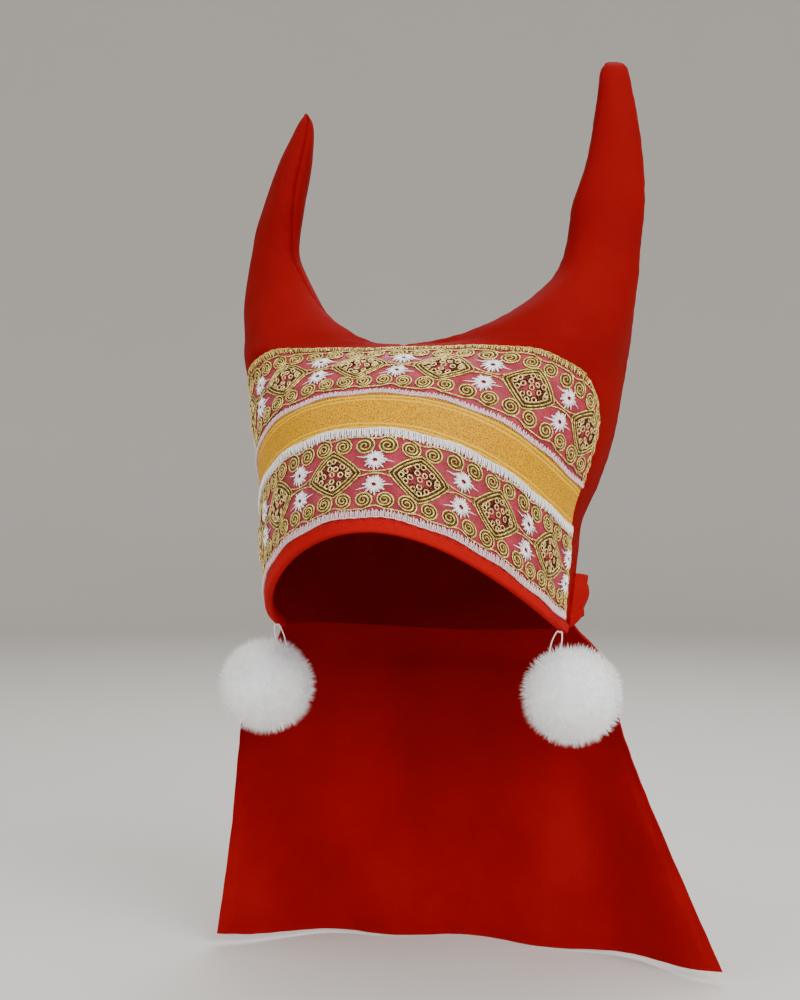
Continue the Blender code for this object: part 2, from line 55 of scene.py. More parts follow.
# Camera: where the photograph was taken from
photoView = {
    "azimuth": 17.0,        # degrees from the front towards the wearer's left
    "distance": 0.85,
    "pixels": 1545.0,       # focal length in pixels of the frame
    "tall": 1000.0,         # pixels of the frame's height
    "aside": -24.0,         # pixels from the origin's column to the frame's middle
    "height": 0.0704,
}


def addCamera(view):
    turn = radians(view["azimuth"])
    rightward = Vector((cos(turn), sin(turn), 0.0))
    backward = Vector((sin(turn), -cos(turn), 0.0))
    aim = rightward * view["aside"] * view["distance"] / view["pixels"]
    aim.z = view["height"]
    bpy.ops.object.camera_add(location=aim + backward * view["distance"])
    camera = bpy.context.object
    camera.rotation_euler = (-backward).to_track_quat("-Z", "Y").to_euler()
    camera.data.sensor_width = 36.0
    camera.data.lens = camera.data.sensor_width * view["pixels"] / view["tall"]
    camera.data.clip_start = 0.01
    bpy.context.scene.camera = camera


addCamera(photoView)
print("camera placed")


# Shader maths: one socket of a node tree, so that a sum reads as a sum
class Wire:
    def __init__(self, tree, socket=None):
        self.tree, self.socket = tree, socket

    def node(self, kind, settings=None, sockets=None, out=0):
        made = self.tree.nodes.new("ShaderNode" + kind)
        for name, value in (settings or {}).items():
            if name == "stops":
                ramp = made.color_ramp.elements
                while len(ramp) < len(value):
                    ramp.new(0.5)
                for stop, (place, colour) in zip(ramp, value):
                    stop.position, stop.color = place, (*colour, 1.0)
            else:
                setattr(made, name, value)
        for key, value in (sockets or {}).items():
            if isinstance(value, Wire):
                self.tree.links.new(value.socket, made.inputs[key])
            else:
                made.inputs[key].default_value = value
        return Wire(self.tree, made.outputs[out])

    def maths(self, operation, *values):
        return self.node("Math", {"operation": operation}, dict(enumerate(values)))

    def __add__(self, other):
        return self.maths("ADD", self, other)

    def __radd__(self, other):
        return self.maths("ADD", other, self)

    def __sub__(self, other):
        return self.maths("SUBTRACT", self, other)

    def __rsub__(self, other):
        return self.maths("SUBTRACT", other, self)

    def __mul__(self, other):
        return self.maths("MULTIPLY", self, other)

    def __rmul__(self, other):
        return self.maths("MULTIPLY", other, self)

    def wave(self, pitch, shift=0.0):       # 0 to 1, once in every pitch
        return self.maths("SINE", (self + shift) * (2.0 * pi / pitch)) * 0.5 + 0.5

    def between(self, low, high):           # smooth 0 to 1
        settings = {"interpolation_type": "SMOOTHSTEP"}
        return self.node("MapRange", settings, {"Value": self, "From Min": low, "From Max": high})

    def mix(self, first, second):           # self is the factor, the others are colours
        sockets = {0: self, 6: first, 7: second}
        return self.node("Mix", {"data_type": "RGBA"}, sockets, out=2)


def newFinish(name, fixed):
    # a material with its constants on the shader's own sockets
    finish = bpy.data.materials.new(name)
    finish.use_nodes = True
    shader = finish.node_tree.nodes["Principled BSDF"]
    for socket, value in fixed.items():
        shader.inputs[socket].default_value = value
    return finish, shader, Wire(finish.node_tree)


def feed(finish, shader, socket, wire):
    finish.node_tree.links.new(wire.socket, shader.inputs[socket])


def fromUv(start):
    # along and across a piece, in metres
    uv = start.node("UVMap", {"uv_map": "UVMap"})
    parts = start.tree.nodes.new("ShaderNodeSeparateXYZ")
    start.tree.links.new(uv.socket, parts.inputs[0])
    return uv, Wire(start.tree, parts.outputs[0]), Wire(start.tree, parts.outputs[1])


def grain(start, place, scale, detail, roughness=0.5):
    sockets = {"Vector": place, "Scale": scale, "Detail": detail, "Roughness": roughness}
    return start.node("TexNoise", None, sockets)


def bumped(start, height, distance, strength):
    sockets = {"Height": height, "Distance": distance, "Strength": strength}
    return start.node("Bump", None, sockets)


def clothFinish(name, lit, shade, pitch=0.00045, sheen=0.25, creases=1.0, roughness=0.78):
    # plain-woven cotton: crossing threads, slubs and soft creases
    finish, shader, start = newFinish(name, {
        "Roughness": roughness, "Sheen Weight": sheen, "Sheen Roughness": 0.45,
        "Sheen Tint": (*[min(1.0, c * 1.5 + 0.05) for c in lit], 1.0),
        "Specular IOR Level": 0.08,
    })
    uv, along, across = fromUv(start)
    weave = along.wave(pitch) * across.wave(pitch, pitch * 0.25)
    slubs = grain(start, uv, 900.0, 3.0, 0.6)
    place = start.node("TexCoord", out=3)
    cloud = grain(start, place, 22.0, 4.0, 0.55)
    folds = grain(start, place, 38.0, 3.0, 0.5)
    tone = (cloud * 0.75 + slubs * 0.35 - 0.1).between(0.15, 0.95)
    feed(finish, shader, "Base Color", tone.mix((*shade, 1.0), (*lit, 1.0)))
    feed(finish, shader, "Roughness", roughness - 0.08 + slubs * 0.16)
    height = weave * 0.25 + slubs * 0.30 + folds * creases * 2.2
    feed(finish, shader, "Normal", bumped(start, height, 0.0005, 0.6))
    return finish


def goldFinish(name, light, dark, metallic, roughness):
    # metal-wound cord: fine windings, painted glints along it as brighter patches in its colour,
    # and painted shade where it lies low on the cloth
    finish, shader, start = newFinish(name, {
        "Metallic": metallic, "Roughness": roughness, "Specular IOR Level": 0.5,
    })
    uv, along, around = fromUv(start)
    lift = start.node("Attribute", {"attribute_name": "lift"}, out=2)
    windings = (along + around * 0.4).wave(0.00055)
    glint = grain(start, uv, 420.0, 3.0, 0.7)
    spark = grain(start, uv, 2300.0, 1.0, 0.5)
    # painted shade and highlight: the colour darkens where the cord lies low on the cloth (lift),
    # and the glint and spark noise paints brighter glints
    tone = lift.between(0.2, 1.0) * (windings * 0.3 + glint * 3.2 + spark * 0.8 - 1.5)
    feed(finish, shader, "Base Color", tone.between(0.0, 1.0).mix((*dark, 1.0), (*light, 1.0)))
    feed(finish, shader, "Roughness", roughness - 0.12 + glint * 0.3)
    feed(finish, shader, "Normal", bumped(start, windings + spark, 0.00015, 0.8))
    return finish


def threadFinish(name, light, dark, pitch=0.0007, roughness=0.6):
    finish, shader, start = newFinish(name, {
        "Roughness": roughness, "Sheen Weight": 0.15, "Specular IOR Level": 0.4,
    })
    uv, along, around = fromUv(start)
    lift = start.node("Attribute", {"attribute_name": "lift"}, out=2)
    twist = (along + around * 0.6).wave(pitch)
    fuzz = grain(start, uv, 900.0, 2.0, 0.7)
    # painted shade: the thread's colour darkens where it lies low on the cloth (lift); twist and
    # fuzz are its own tone
    tone = lift.between(0.0, 0.7) * (twist * 0.3 + fuzz * 0.9 + 0.15)
    feed(finish, shader, "Base Color", tone.between(0.1, 0.8).mix((*dark, 1.0), (*light, 1.0)))
    feed(finish, shader, "Normal", bumped(start, twist, 0.00012, 0.7))
    return finish


def organzaFinish(name):
    # pink organza over the red cloth: a fine open mesh that lets the red through
    finish, shader, start = newFinish(name, {
        "Roughness": 0.42, "Sheen Weight": 0.10, "Sheen Tint": (1.0, 0.50, 0.56, 1.0),
        "Specular IOR Level": 0.3,
    })
    uv, along, across = fromUv(start)
    mesh = along.wave(0.0005) * across.wave(0.0005)
    cloud = grain(start, uv, 110.0, 3.0, 0.6)
    spots = grain(start, uv, 700.0, 2.0, 0.6)
    tone = (cloud * 1.1 + spots * 0.35 + mesh * 0.2 - 0.35).between(0.1, 0.95)
    feed(finish, shader, "Base Color",
         tone.mix((0.19, 0.006, 0.014, 1.0), (0.44, 0.034, 0.066, 1.0)))
    feed(finish, shader, "Roughness", 0.34 + spots * 0.2)
    feed(finish, shader, "Normal", bumped(start, mesh + cloud * 2.0, 0.0002, 0.5))
    return finish


# The ribbon's woven lines, from its middle: where each begins, is full, fades and ends
ribbonLines = {
    "inner": (0.0060, 0.0064, 0.0067, 0.0071),
    "outer": (0.0079, 0.0083, 0.0086, 0.0090),
    "seam": (0.0088, 0.0094),
}


def stripe(across, begins, full, fades, ends):
    return across.between(begins, full) - across.between(fades, ends)


def ribbonFinish(name, width):
    # jacquard ribbon: glittering grain with plain lines along both edges
    finish, shader, start = newFinish(name, {
        "Roughness": 0.46, "Specular IOR Level": 0.10,
    })
    uv, along, across = fromUv(start)
    waver = grain(start, uv, 60.0, 1.0, 0.5)
    middle = across - 0.5 * width
    fromMiddle = middle.maths("ABSOLUTE", middle) + (waver - 0.5) * 0.0012
    lines = stripe(fromMiddle, *ribbonLines["inner"]) + stripe(fromMiddle, *ribbonLines["outer"])
    seam = fromMiddle.between(*ribbonLines["seam"])
    cell = start.node("TexVoronoi", {"feature": "F1"}, {"Vector": uv, "Scale": 1500.0})
    speck = grain(start, uv, 1300.0, 2.0, 0.7)
    weave = along.wave(0.0008) * across.wave(0.0006)
    tone = (speck + cell * 0.4 + weave * 0.1 - 0.25).between(0.2, 0.65)
    ground = tone.mix((0.20, 0.075, 0.001, 1.0), (0.67, 0.322, 0.001, 1.0))
    lined = (lines * 0.7).mix(ground, (0.86, 0.50, 0.025, 1.0))
    dashes = seam * along.wave(0.0016).between(0.45, 0.6)
    feed(finish, shader, "Base Color", (dashes * 0.7).mix(lined, (0.17, 0.06, 0.008, 1.0)))
    feed(finish, shader, "Roughness", 0.30 + speck * 0.28)
    height = speck * 0.8 + weave * 0.5 + lines * 0.6
    feed(finish, shader, "Normal", bumped(start, height, 0.00025, 0.7))
    return finish


def furFinish(name):
    finish, shader, start = newFinish(name, {
        "Roughness": 0.75, "Sheen Weight": 0.5, "Sheen Roughness": 0.4,
        "Specular IOR Level": 0.3, "Subsurface Weight": 0.15, "Subsurface Scale": 0.004,
    })
    place = start.node("TexCoord", out=3)
    clumps = grain(start, place, 260.0, 3.0, 0.6)
    hairs = grain(start, place, 1900.0, 2.0, 0.6)
    tone = (clumps * 0.9 + hairs * 0.4 - 0.1).between(0.1, 0.8)
    feed(finish, shader, "Base Color",
         tone.mix((0.80, 0.78, 0.785, 1.0), (0.97, 0.96, 0.965, 1.0)))
    feed(finish, shader, "Normal", bumped(start, clumps * 1.5 + hairs, 0.0005, 0.6))
    return finish


finishes = {
    "capRed": clothFinish("capRed", (0.24, 0.0008, 0.0018), (0.165, 0.0005, 0.0012), sheen=0.015),
    # painted light: a lighter copy of the cap's red, to make up for the cap's shade over the nape
    # cloth; the ties and knot share it
    "napeRedWithPaintedLight": clothFinish("napeRedWithPaintedLight", (0.33, 0.0012, 0.0020), (0.22, 0.0008, 0.0014),
                           sheen=0.02, creases=0.7),
    "bindingRed": clothFinish("bindingRed", (0.43, 0.0016, 0.0034), (0.31, 0.0010, 0.0022),
                              pitch=0.0004, sheen=0.02, creases=0.6, roughness=0.70),
    "organza": organzaFinish("pinkOrganza"),
    "gold": goldFinish("goldCord", (1.0, 0.76, 0.22), (0.090, 0.036, 0.003), 0.6, 0.22),
    # bronze thread, its dark colour standing also for painted shade between the gold cords
    "bronze": goldFinish("bronzeThreadAndShade", (0.30, 0.16, 0.035), (0.05, 0.020, 0.003), 0.4, 0.42),
    "ring": goldFinish("goldRing", (1.0, 0.77, 0.34), (0.36, 0.18, 0.04), 0.6, 0.22),
    "white": threadFinish("whiteThread", (0.93, 0.91, 0.91), (0.50, 0.30, 0.33)),
    "edging": threadFinish("edgingThread", (0.80, 0.58, 0.60), (0.28, 0.05, 0.06)),
    "redThread": threadFinish("redThread", (0.26, 0.004, 0.006), (0.10, 0.002, 0.003)),
    "fur": furFinish("whiteFur"),
}
print("finishes made")

# The cap's form, in millimetres: rows from the rim up to the saddle, shared by both sides,
# then each horn from the saddle to its tip
capForm = {
    "wall": 0.0016,
    "seamGap": 0.0003,      # between the front and the back cloth
    "columns": 48,          # each side
    "rows": 170,
    "bodyColumns": ("leftX", "rightX", "sideY", "sideZ", "frontY", "frontZ", "backY", "backZ",
                    "fillX", "fillY", "frontLift", "backLift"),
    "body": (
        (79.5, 84.0, 0.0, 0.0, -100.0, 56.0, 90.0, -8.0, 0.55, 0.55, 13.5, 0.0),
        (81.5, 86.0, 2.0, 20.0, -99.5, 71.5, 97.0, 26.0, 0.55, 0.55, 16.0, 3.0),
        (83.5, 87.5, 4.0, 38.0, -97.5, 88.5, 99.0, 60.0, 0.56, 0.56, 20.0, 8.0),
        (86.0, 88.5, 6.0, 57.0, -94.0, 106.5, 92.0, 94.0, 0.58, 0.60, 23.0, 16.0),
        (94.5, 91.0, 8.0, 76.5, -86.0, 124.5, 72.0, 124.0, 0.60, 0.66, 27.0, 26.0),
        (101.5, 94.5, 10.0, 96.0, -70.0, 139.0, 38.0, 146.0, 0.64, 0.80, 30.0, 36.0),
        (106.0, 98.0, 11.0, 117.0, -49.5, 149.0, 2.0, 155.0, 0.68, 1.05, 32.0, 34.0),
    ),
    "hornColumns": ("innerX", "innerY", "innerZ", "outerX", "outerY", "outerZ", "puff"),
    "left": (
        (0.0, -38.0, 152.5, 108.5, 12.0, 134.0, 20.0),
        (18.0, -37.0, 154.5, 111.0, 12.5, 148.0, 20.0),
        (36.0, -33.5, 160.0, 113.0, 12.0, 163.0, 19.5),
        (53.0, -27.0, 168.5, 114.5, 11.0, 177.0, 18.5),
        (67.0, -18.5, 179.5, 116.0, 10.0, 190.0, 17.0),
        (76.5, -11.0, 191.5, 117.0, 9.0, 203.0, 14.5),
        (81.5, -8.5, 207.5, 118.8, 8.0, 216.0, 13.0),
        (84.0, -8.0, 227.0, 120.0, 7.0, 231.0, 12.0),
        (90.0, -6.5, 245.0, 119.5, 6.0, 248.0, 10.5),
        (93.7, -5.0, 263.0, 117.8, 5.0, 265.0, 9.0),
        (96.0, -4.0, 280.5, 115.3, 4.0, 281.0, 7.5),
        (97.5, -3.5, 293.0, 113.0, 3.0, 293.5, 6.0),
        (98.4, -2.8, 299.4, 111.6, 2.7, 299.4, 4.4),
        (100.4, -1.9, 302.8, 109.6, 1.9, 302.8, 0.0),
    ),
    "right": (
        (0.0, -38.0, 152.5, 100.5, 12.0, 134.0, 20.0),
        (15.0, -37.0, 154.0, 102.0, 12.0, 148.5, 20.0),
        (31.0, -33.0, 161.0, 103.0, 11.0, 163.0, 18.5),
        (46.5, -25.0, 170.7, 104.0, 9.5, 176.0, 16.5),
        (58.1, -17.5, 182.0, 104.5, 9.5, 189.0, 15.0),
        (66.0, -13.3, 193.0, 104.0, 11.3, 199.0, 13.0),
        (73.0, -10.0, 206.0, 103.0, 14.0, 210.0, 11.5),
        (74.0, -9.5, 219.0, 101.6, 17.5, 222.0, 11.3),
        (73.1, -10.6, 233.0, 96.4, 18.6, 235.0, 11.5),
        (71.8, -9.4, 248.0, 89.6, 17.4, 249.0, 10.5),
        (69.6, -6.5, 262.0, 83.6, 15.5, 263.0, 9.0),
        (68.2, -3.0, 275.0, 78.2, 13.0, 275.5, 6.5),
        (68.1, -0.1, 284.0, 74.5, 10.1, 284.0, 3.8),
        (69.5, 2.9, 289.5, 72.1, 7.1, 289.5, 0.0),
    ),
    "roundFrom": 5,         # horn row from which the section is a plain oval
    "frontDraw": {"inner": -60.0, "outer": -58.0, "change": 5.5, "reach": 0.65},
    "backDraw": {"inner": 13.0, "outer": 29.0, "change": 2.5, "reach": 0.55},
    "backDrawLeast": 15.0,
    "bodyDraw": 0.55,       # how full the back cloth is on the body
    "dents": 0.0016,        # soft dents of the cloth
    "dentScales": (24.0, 55.0),
    "pucker": 0.00045,      # along the seams
    "puckerScale": 210.0,
    "puckerReach": 0.009,
    "groove": (0.0008, 0.0011),     # depth and half width of the seams' groove
    "easing": 90,           # passes over the saddle
    "tipRound": {"left": 0.0014, "right": 0.0034},
}
sides = {"left": 1.0, "right": -1.0}    # the wearer's
saddle = len(capForm["body"])


def smooth(x):
    x = np.clip(x, 0.0, 1.0)
    return x * x * (3.0 - 2.0 * x)


def throughRows(rows, t):
    # a smooth curve through rows of points, at fractional row numbers
    last = len(rows) - 1
    k = np.clip(t.astype(int), 0, last - 1)
    w = (t - k).reshape((-1,) + (1,) * (rows.ndim - 1))
    a, b = rows[np.maximum(k - 1, 0)], rows[k]
    c, d = rows[k + 1], rows[np.minimum(k + 2, last)]
    return 0.5 * (2 * b + (c - a) * w + (2 * a - 5 * b + 4 * c - d) * w * w
                  + (3 * b - a - 3 * c + d) * w ** 3)


def bodyRow(values, side, front):
    v = dict(zip(capForm["bodyColumns"], values))
    y, z = (v["frontY"], v["frontZ"]) if front else (v["backY"], v["backZ"])
    lift = v["frontLift"] if front else v["backLift"]
    fillX, fillY = (v["fillX"], v["fillY"]) if front else (capForm["bodyDraw"],) * 2
    middle = np.array((0.0, y, z))
    seam = np.array((side * (v["leftX"] if side > 0 else v["rightX"]), v["sideY"], v["sideZ"]))
    drawY = fillY * (y - seam[1])
    if not front:
        drawY = max(drawY, capForm["backDrawLeast"])
    return [middle, middle + (fillX * seam[0], 0.0, 0.0), seam + (0.0, drawY, lift), seam]


def hornRow(values, number, side, front):
    v = dict(zip(capForm["hornColumns"], values))
    inner = np.array((side * v["innerX"], v["innerY"], v["innerZ"]))
    outer = np.array((side * v["outerX"], v["outerY"], v["outerZ"]))
    chord = outer - inner
    facing = (-side if front else side) / np.hypot(chord[0], chord[1])
    out = facing * np.array((-chord[1], chord[0], 0.0))
    oval = smooth(number / capForm["roundFrom"])
    draw = capForm["frontDraw" if front else "backDraw"]
    height = max(inner[2], outer[2])
    innerAim = np.array((outer[0], draw["inner"] + draw["change"] * number, height))
    outerAim = np.array((outer[0], draw["outer"] + draw["change"] * number, height))
    puff = v["puff"] * 4.0 / 3.0 * out
    return [inner, inner + (1.0 - oval) * draw["reach"] * (innerAim - inner) + oval * puff,
            outer + (1.0 - oval) * (outerAim - outer) + oval * puff, outer]


capRows = {}
for sideName, side in sides.items():
    for front in (True, False):
        rows = [bodyRow(row, side, front) for row in capForm["body"]]
        rows += [hornRow(row, k, side, front) for k, row in enumerate(capForm[sideName])]
        capRows[sideName, front] = np.array(rows) * 0.001
lastStop = len(capRows["left", True]) - 1
capStops = np.linspace(0.0, lastStop, capForm["rows"])
capStops = np.unique(np.concatenate((capStops, (0.004, 0.012, saddle, lastStop - 0.02))))


def capPoints(sideName, front, stops, fractions):
    # the outer face of the cloth, one row of points for every stop
    rows = capRows[sideName, front]
    low = throughRows(rows[:saddle + 1], np.minimum(stops, saddle))
    high = throughRows(rows[saddle:], np.maximum(stops - saddle, 0.0))
    ruling = np.where((stops <= saddle)[:, None, None], low, high)
    s = np.asarray(fractions)
    weights = np.array(((1 - s) ** 3, 3 * (1 - s) ** 2 * s, 3 * (1 - s) * s * s, s ** 3))
    return np.einsum("ks,tkc->tsc", weights, ruling)


def capSkin(sideName, front, fractions):
    # the cap's rows, eased across the saddle, where the body turns into the horns
    points = capPoints(sideName, front, capStops, fractions)
    near = np.exp(-((capStops - saddle) / 1.0) ** 2)[1:-1, None] * smooth(fractions / 0.10)
    for _ in range(capForm["easing"]):
        between = 0.5 * (points[:-2] + points[2:])
        points[1:-1] += 0.5 * near[..., None] * (between - points[1:-1])
    return points


def unit(vectors):
    return vectors / np.maximum(np.linalg.norm(vectors, axis=-1, keepdims=True), 1e-12)


def lengthsAlong(points, axis):
    # running length along an axis of a grid of points
    steps = np.linalg.norm(np.diff(points, axis=axis), axis=-1)
    start = np.zeros_like(np.take(steps, [0], axis=axis))
    return np.concatenate((start, np.cumsum(steps, axis=axis)), axis=axis)


def setPlaces(piece, points):
    piece.data.vertices.foreach_set("co", np.asarray(points, dtype=np.float64).ravel())
    piece.data.update()


def getPlaces(piece):
    places = np.empty(len(piece.data.vertices) * 3)
    piece.data.vertices.foreach_get("co", places)
    return places.reshape(-1, 3)


def setUv(piece, perVertex):
    if not piece.data.uv_layers:
        piece.data.uv_layers.new(name="UVMap")
    layer = piece.data.uv_layers[0]
    layer.name = "UVMap"
    corners = np.empty(len(piece.data.loops), dtype=np.int32)
    piece.data.loops.foreach_get("vertex_index", corners)
    layer.data.foreach_set("uv", np.asarray(perVertex, dtype=np.float64)[corners].ravel())


def only(*pieces):
    bpy.ops.object.select_all(action="DESELECT")
    for piece in pieces:
        piece.select_set(True)
    bpy.context.view_layer.objects.active = pieces[0]


def gridPiece(name, columns, rows, points, metres):
    # a grid primitive whose vertices go to points[row, column], with a UV map in metres
    bpy.ops.object.select_all(action="DESELECT")
    bpy.ops.mesh.primitive_grid_add(x_subdivisions=columns - 1, y_subdivisions=rows - 1, size=2.0)
    piece = bpy.context.object
    piece.name = piece.data.name = name
    flat = getPlaces(piece)
    column = np.rint((flat[:, 0] + 1.0) / 2.0 * (columns - 1)).astype(int)
    row = np.rint((flat[:, 1] + 1.0) / 2.0 * (rows - 1)).astype(int)
    setPlaces(piece, points[row, column])
    setUv(piece, metres[row, column])
    return piece


def joined(name, *pieces):
    only(*pieces)
    if len(pieces) > 1:
        bpy.ops.object.join()
    piece = bpy.context.object
    piece.name = piece.data.name = name
    return piece


def applied(piece, kind, **settings):
    only(piece)
    modifier = piece.modifiers.new(kind.lower(), kind)
    for name, value in settings.items():
        setattr(modifier, name, value)
    bpy.ops.object.modifier_apply(modifier=modifier.name)
    return piece


def mended(piece, distance=1e-6, outward=False):
    only(piece)
    bpy.ops.object.mode_set(mode="EDIT")
    bpy.ops.mesh.select_all(action="SELECT")
    bpy.ops.mesh.remove_doubles(threshold=distance)
    if outward:
        bpy.ops.mesh.normals_make_consistent(inside=False)
    bpy.ops.object.mode_set(mode="OBJECT")
    return piece


def dressed(piece, finish, slot, *nodes, angle=50.0):
    # finish, smooth shading, body and the CAD nodes that the piece stands for; the slot is not used
    piece.data.materials.clear()
    piece.data.materials.append(finishes[finish])
    only(piece)
    bpy.ops.object.shade_smooth_by_angle(angle=radians(angle))
    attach(piece, "root")
    if nodes:
        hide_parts(*nodes)
    return piece


def noiseAt(points, scale, seed=0.0, stretch=(1.0, 1.0, 1.0)):
    shaped = points.reshape(-1, 3) * scale * np.array(stretch) + seed
    return np.array([noise.noise(Vector(p)) for p in shaped]).reshape(points.shape[:-1])


# The forehead panel: bands measured up the cloth from the rim
panel = {
    "binding": 0.0058,
    "braid": 0.0450,
    "ribbon": 0.0195,
    "endLow": 0.930,        # how far the bands reach towards the side seam
    "endHigh": 0.828,
    "corner": 0.020,        # of its rounded upper corners
    "halfGirth": 0.140,
    "riseMiddle": -0.0034,  # of the top edge, which is flatter than the rim
    "riseSides": {"left": 0.0045, "right": 0.0078},
    "riseReach": 0.62,      # how far out from the middle it rises
    "narrow": 0.0025,       # the binding is this much narrower at the temples
}
panel["top"] = panel["binding"] + 2 * panel["braid"] + panel["ribbon"]


def panelEnd(height):
    share = np.clip(height, 0.0, panel["top"]) / panel["top"]
    end = panel["endLow"] + (panel["endHigh"] - panel["endLow"]) * share ** 1.5
    into = np.clip((height - panel["top"] + panel["corner"]) / panel["corner"], 0.0, 1.0)
    return end - panel["corner"] * (1.0 - np.sqrt(1.0 - into * into)) / panel["halfGirth"]


def narrowing(across):
    return panel["narrow"] * smooth((np.abs(across) - 0.35) / 0.55)


def bandRise(across, height):
    share = (height - panel["binding"]) / (panel["top"] - panel["binding"])
    aside = smooth(np.abs(across) / panel["riseReach"])
    most = np.where(across < 0.0, panel["riseSides"]["right"], panel["riseSides"]["left"])
    rise = share * (panel["riseMiddle"] + (most - panel["riseMiddle"]) * aside)
    return rise - (1.0 - share) * narrowing(across)


def onBand(across, height, out):
    return onMap(frontMap, across, height + bandRise(across, height), out)


def makeCapHalf(sideName, front):
    side = sides[sideName]
    spread = np.linspace(0.0, pi, capForm["columns"])
    fractions = 0.5 - 0.5 * np.cos(spread)
    points = capSkin(sideName, front, fractions)
    across = lengthsAlong(points, 1)
    upward = lengthsAlong(points, 0)
    facing = -side * (-1.0 if front else 1.0)
    normals = unit(np.cross(np.gradient(points, axis=1), np.gradient(points, axis=0)) * facing)
    outerSeam = across[:, -1:] - across
    innerSeam = across + (capStops < saddle)[:, None] * 1.0     # none on the body
    nearSeam = np.minimum(outerSeam, innerSeam)
    bare = np.ones_like(across)
    if front:       # no dents under the braids
        covered = smooth((panelEnd(upward) + 0.03 - fractions) / 0.03)
        bare = 1.0 - covered * smooth((panel["top"] + 0.014 - upward) / 0.010)
    coarse, fine = capForm["dentScales"]
    dents = noiseAt(points, coarse, 3.1, (1.0, 1.0, 0.45)) + 0.5 * noiseAt(points, fine, 8.7)
    fades = smooth(outerSeam / 0.02) * smooth(innerSeam / 0.02) * smooth(upward / 0.012)
    puckers = noiseAt(points, capForm["puckerScale"], 5.5)
    puckers = puckers * smooth(1.0 - nearSeam / capForm["puckerReach"])
    height = capForm["dents"] * dents * fades * bare + capForm["pucker"] * puckers
    depth, half = capForm["groove"]
    height = height - depth * np.exp(-(nearSeam / half) ** 2)
    tip = smooth((lastStop - capStops) / 0.8)[:, None]
    points = points + normals * (height * tip)[..., None]
    nearTip = smooth(1.0 - (lastStop - capStops) / 1.3)[:, None]
    sink = capForm["tipRound"][sideName] * (fractions - 0.5) ** 2 * 4.0
    points[..., 2] -= sink * nearTip
    # the two cloths are drawn apart at their seam
    apart = np.array((0.0, -1.0 if front else 1.0, 0.0)) * capForm["seamGap"] * 0.5
    points = points + apart * np.exp(-(nearSeam / 0.002) ** 2)[..., None]
    if side < 0.0:
        points, across, upward = points[:, ::-1], -across[:, ::-1], upward[:, ::-1]
    metres = np.stack((across, upward), axis=-1)
    return gridPiece("half", points.shape[1], points.shape[0], points, metres)


def makeCap():
    for name, front in (("capFront", True), ("capBack", False)):
        halves = [makeCapHalf(sideName, front) for sideName in sides]
        piece = mended(joined(name, *halves), 2e-5)
        if not front:
            piece.data.flip_normals()
        applied(piece, "SOLIDIFY", thickness=capForm["wall"], offset=-1.0, use_even_offset=False)
        dressed(piece, "capRed", "cap_cloth", "cap_front" if front else "cap_back", angle=60.0)


makeCap()
print("cap sewn")


# A map of the panel, so that flat bands can be laid on it
def makePanelMap(front, top):
    acrossSteps, heightSteps = 400, 130
    fractions = np.linspace(0.0, 1.0, acrossSteps // 2 + 1)
    heights = np.linspace(0.0, top, heightSteps)
    columns = []
    for sideName in ("right", "left"):
        points = capSkin(sideName, front, fractions)[capStops <= saddle + 0.5]
        lengths = lengthsAlong(points, 0)
        resampled = np.array([[np.interp(heights, lengths[:, c], points[:, c, k]) for k in range(3)]
                              for c in range(len(fractions))]).transpose(0, 2, 1)
        columns.append(resampled)
    grid = np.concatenate((columns[0][::-1], columns[1][1:]))     # [across, height, xyz]
    sideways, upward = np.gradient(grid, axis=0), np.gradient(grid, axis=1)
    normals = unit(np.cross(sideways, upward)) * (1.0 if front else -1.0)
    return {"points": grid, "normals": normals, "up": unit(upward), "top": top}


def sampled(field, a, h):
    i, j = np.clip(a, 0, field.shape[0] - 1.001), np.clip(h, 0, field.shape[1] - 1.001)
    i0, j0 = i.astype(int), j.astype(int)
    wi, wj = (i - i0)[..., None], (j - j0)[..., None]
    low = field[i0, j0] * (1 - wi) + field[i0 + 1, j0] * wi
    high = field[i0, j0 + 1] * (1 - wi) + field[i0 + 1, j0 + 1] * wi
    return low * (1 - wj) + high * wj


def onMap(mapped, across, height, out):
    # across runs from -1 to 1, height and out are in metres
    a = (np.asarray(across, dtype=float) + 1.0) / 2.0 * (mapped["points"].shape[0] - 1)
    h = np.asarray(height, dtype=float) / mapped["top"] * (mapped["points"].shape[1] - 1)
    here = sampled(mapped["points"], a, h)
    normal = unit(sampled(mapped["normals"], a, h))
    below = np.minimum(np.asarray(height), 0.0)[..., None] * sampled(mapped["up"], a, h)
    return here + below + normal * np.asarray(out)[..., None]


frontMap = makePanelMap(True, panel["top"] + 0.010)
backMap = makePanelMap(False, 0.060)


def acrossAt(mapped, height):
    # running length along a band at this height, and the across value that it belongs to
    marks = np.linspace(-1.0, 1.0, 801)
    line = onMap(mapped, marks, np.full_like(marks, height), np.zeros_like(marks))
    lengths = lengthsAlong(line, 0)
    return lengths - np.interp(0.0, marks, lengths), marks


# Red bias binding folded round the rim
binding = {
    "lie": 0.0003,
    "thick": 0.0008,
    "under": 0.0004,        # how far it reaches under the braid
    "roll": 0.5,            # how flat it is pressed at the fold
    "end": 0.994,           # across the panel, at the side seams
    "ripples": ((0.00016, 0.0071), (0.00012, 0.0046)),      # height and pitch
    "stitchInset": 0.0014,
    "stitchEnd": 0.985,
}


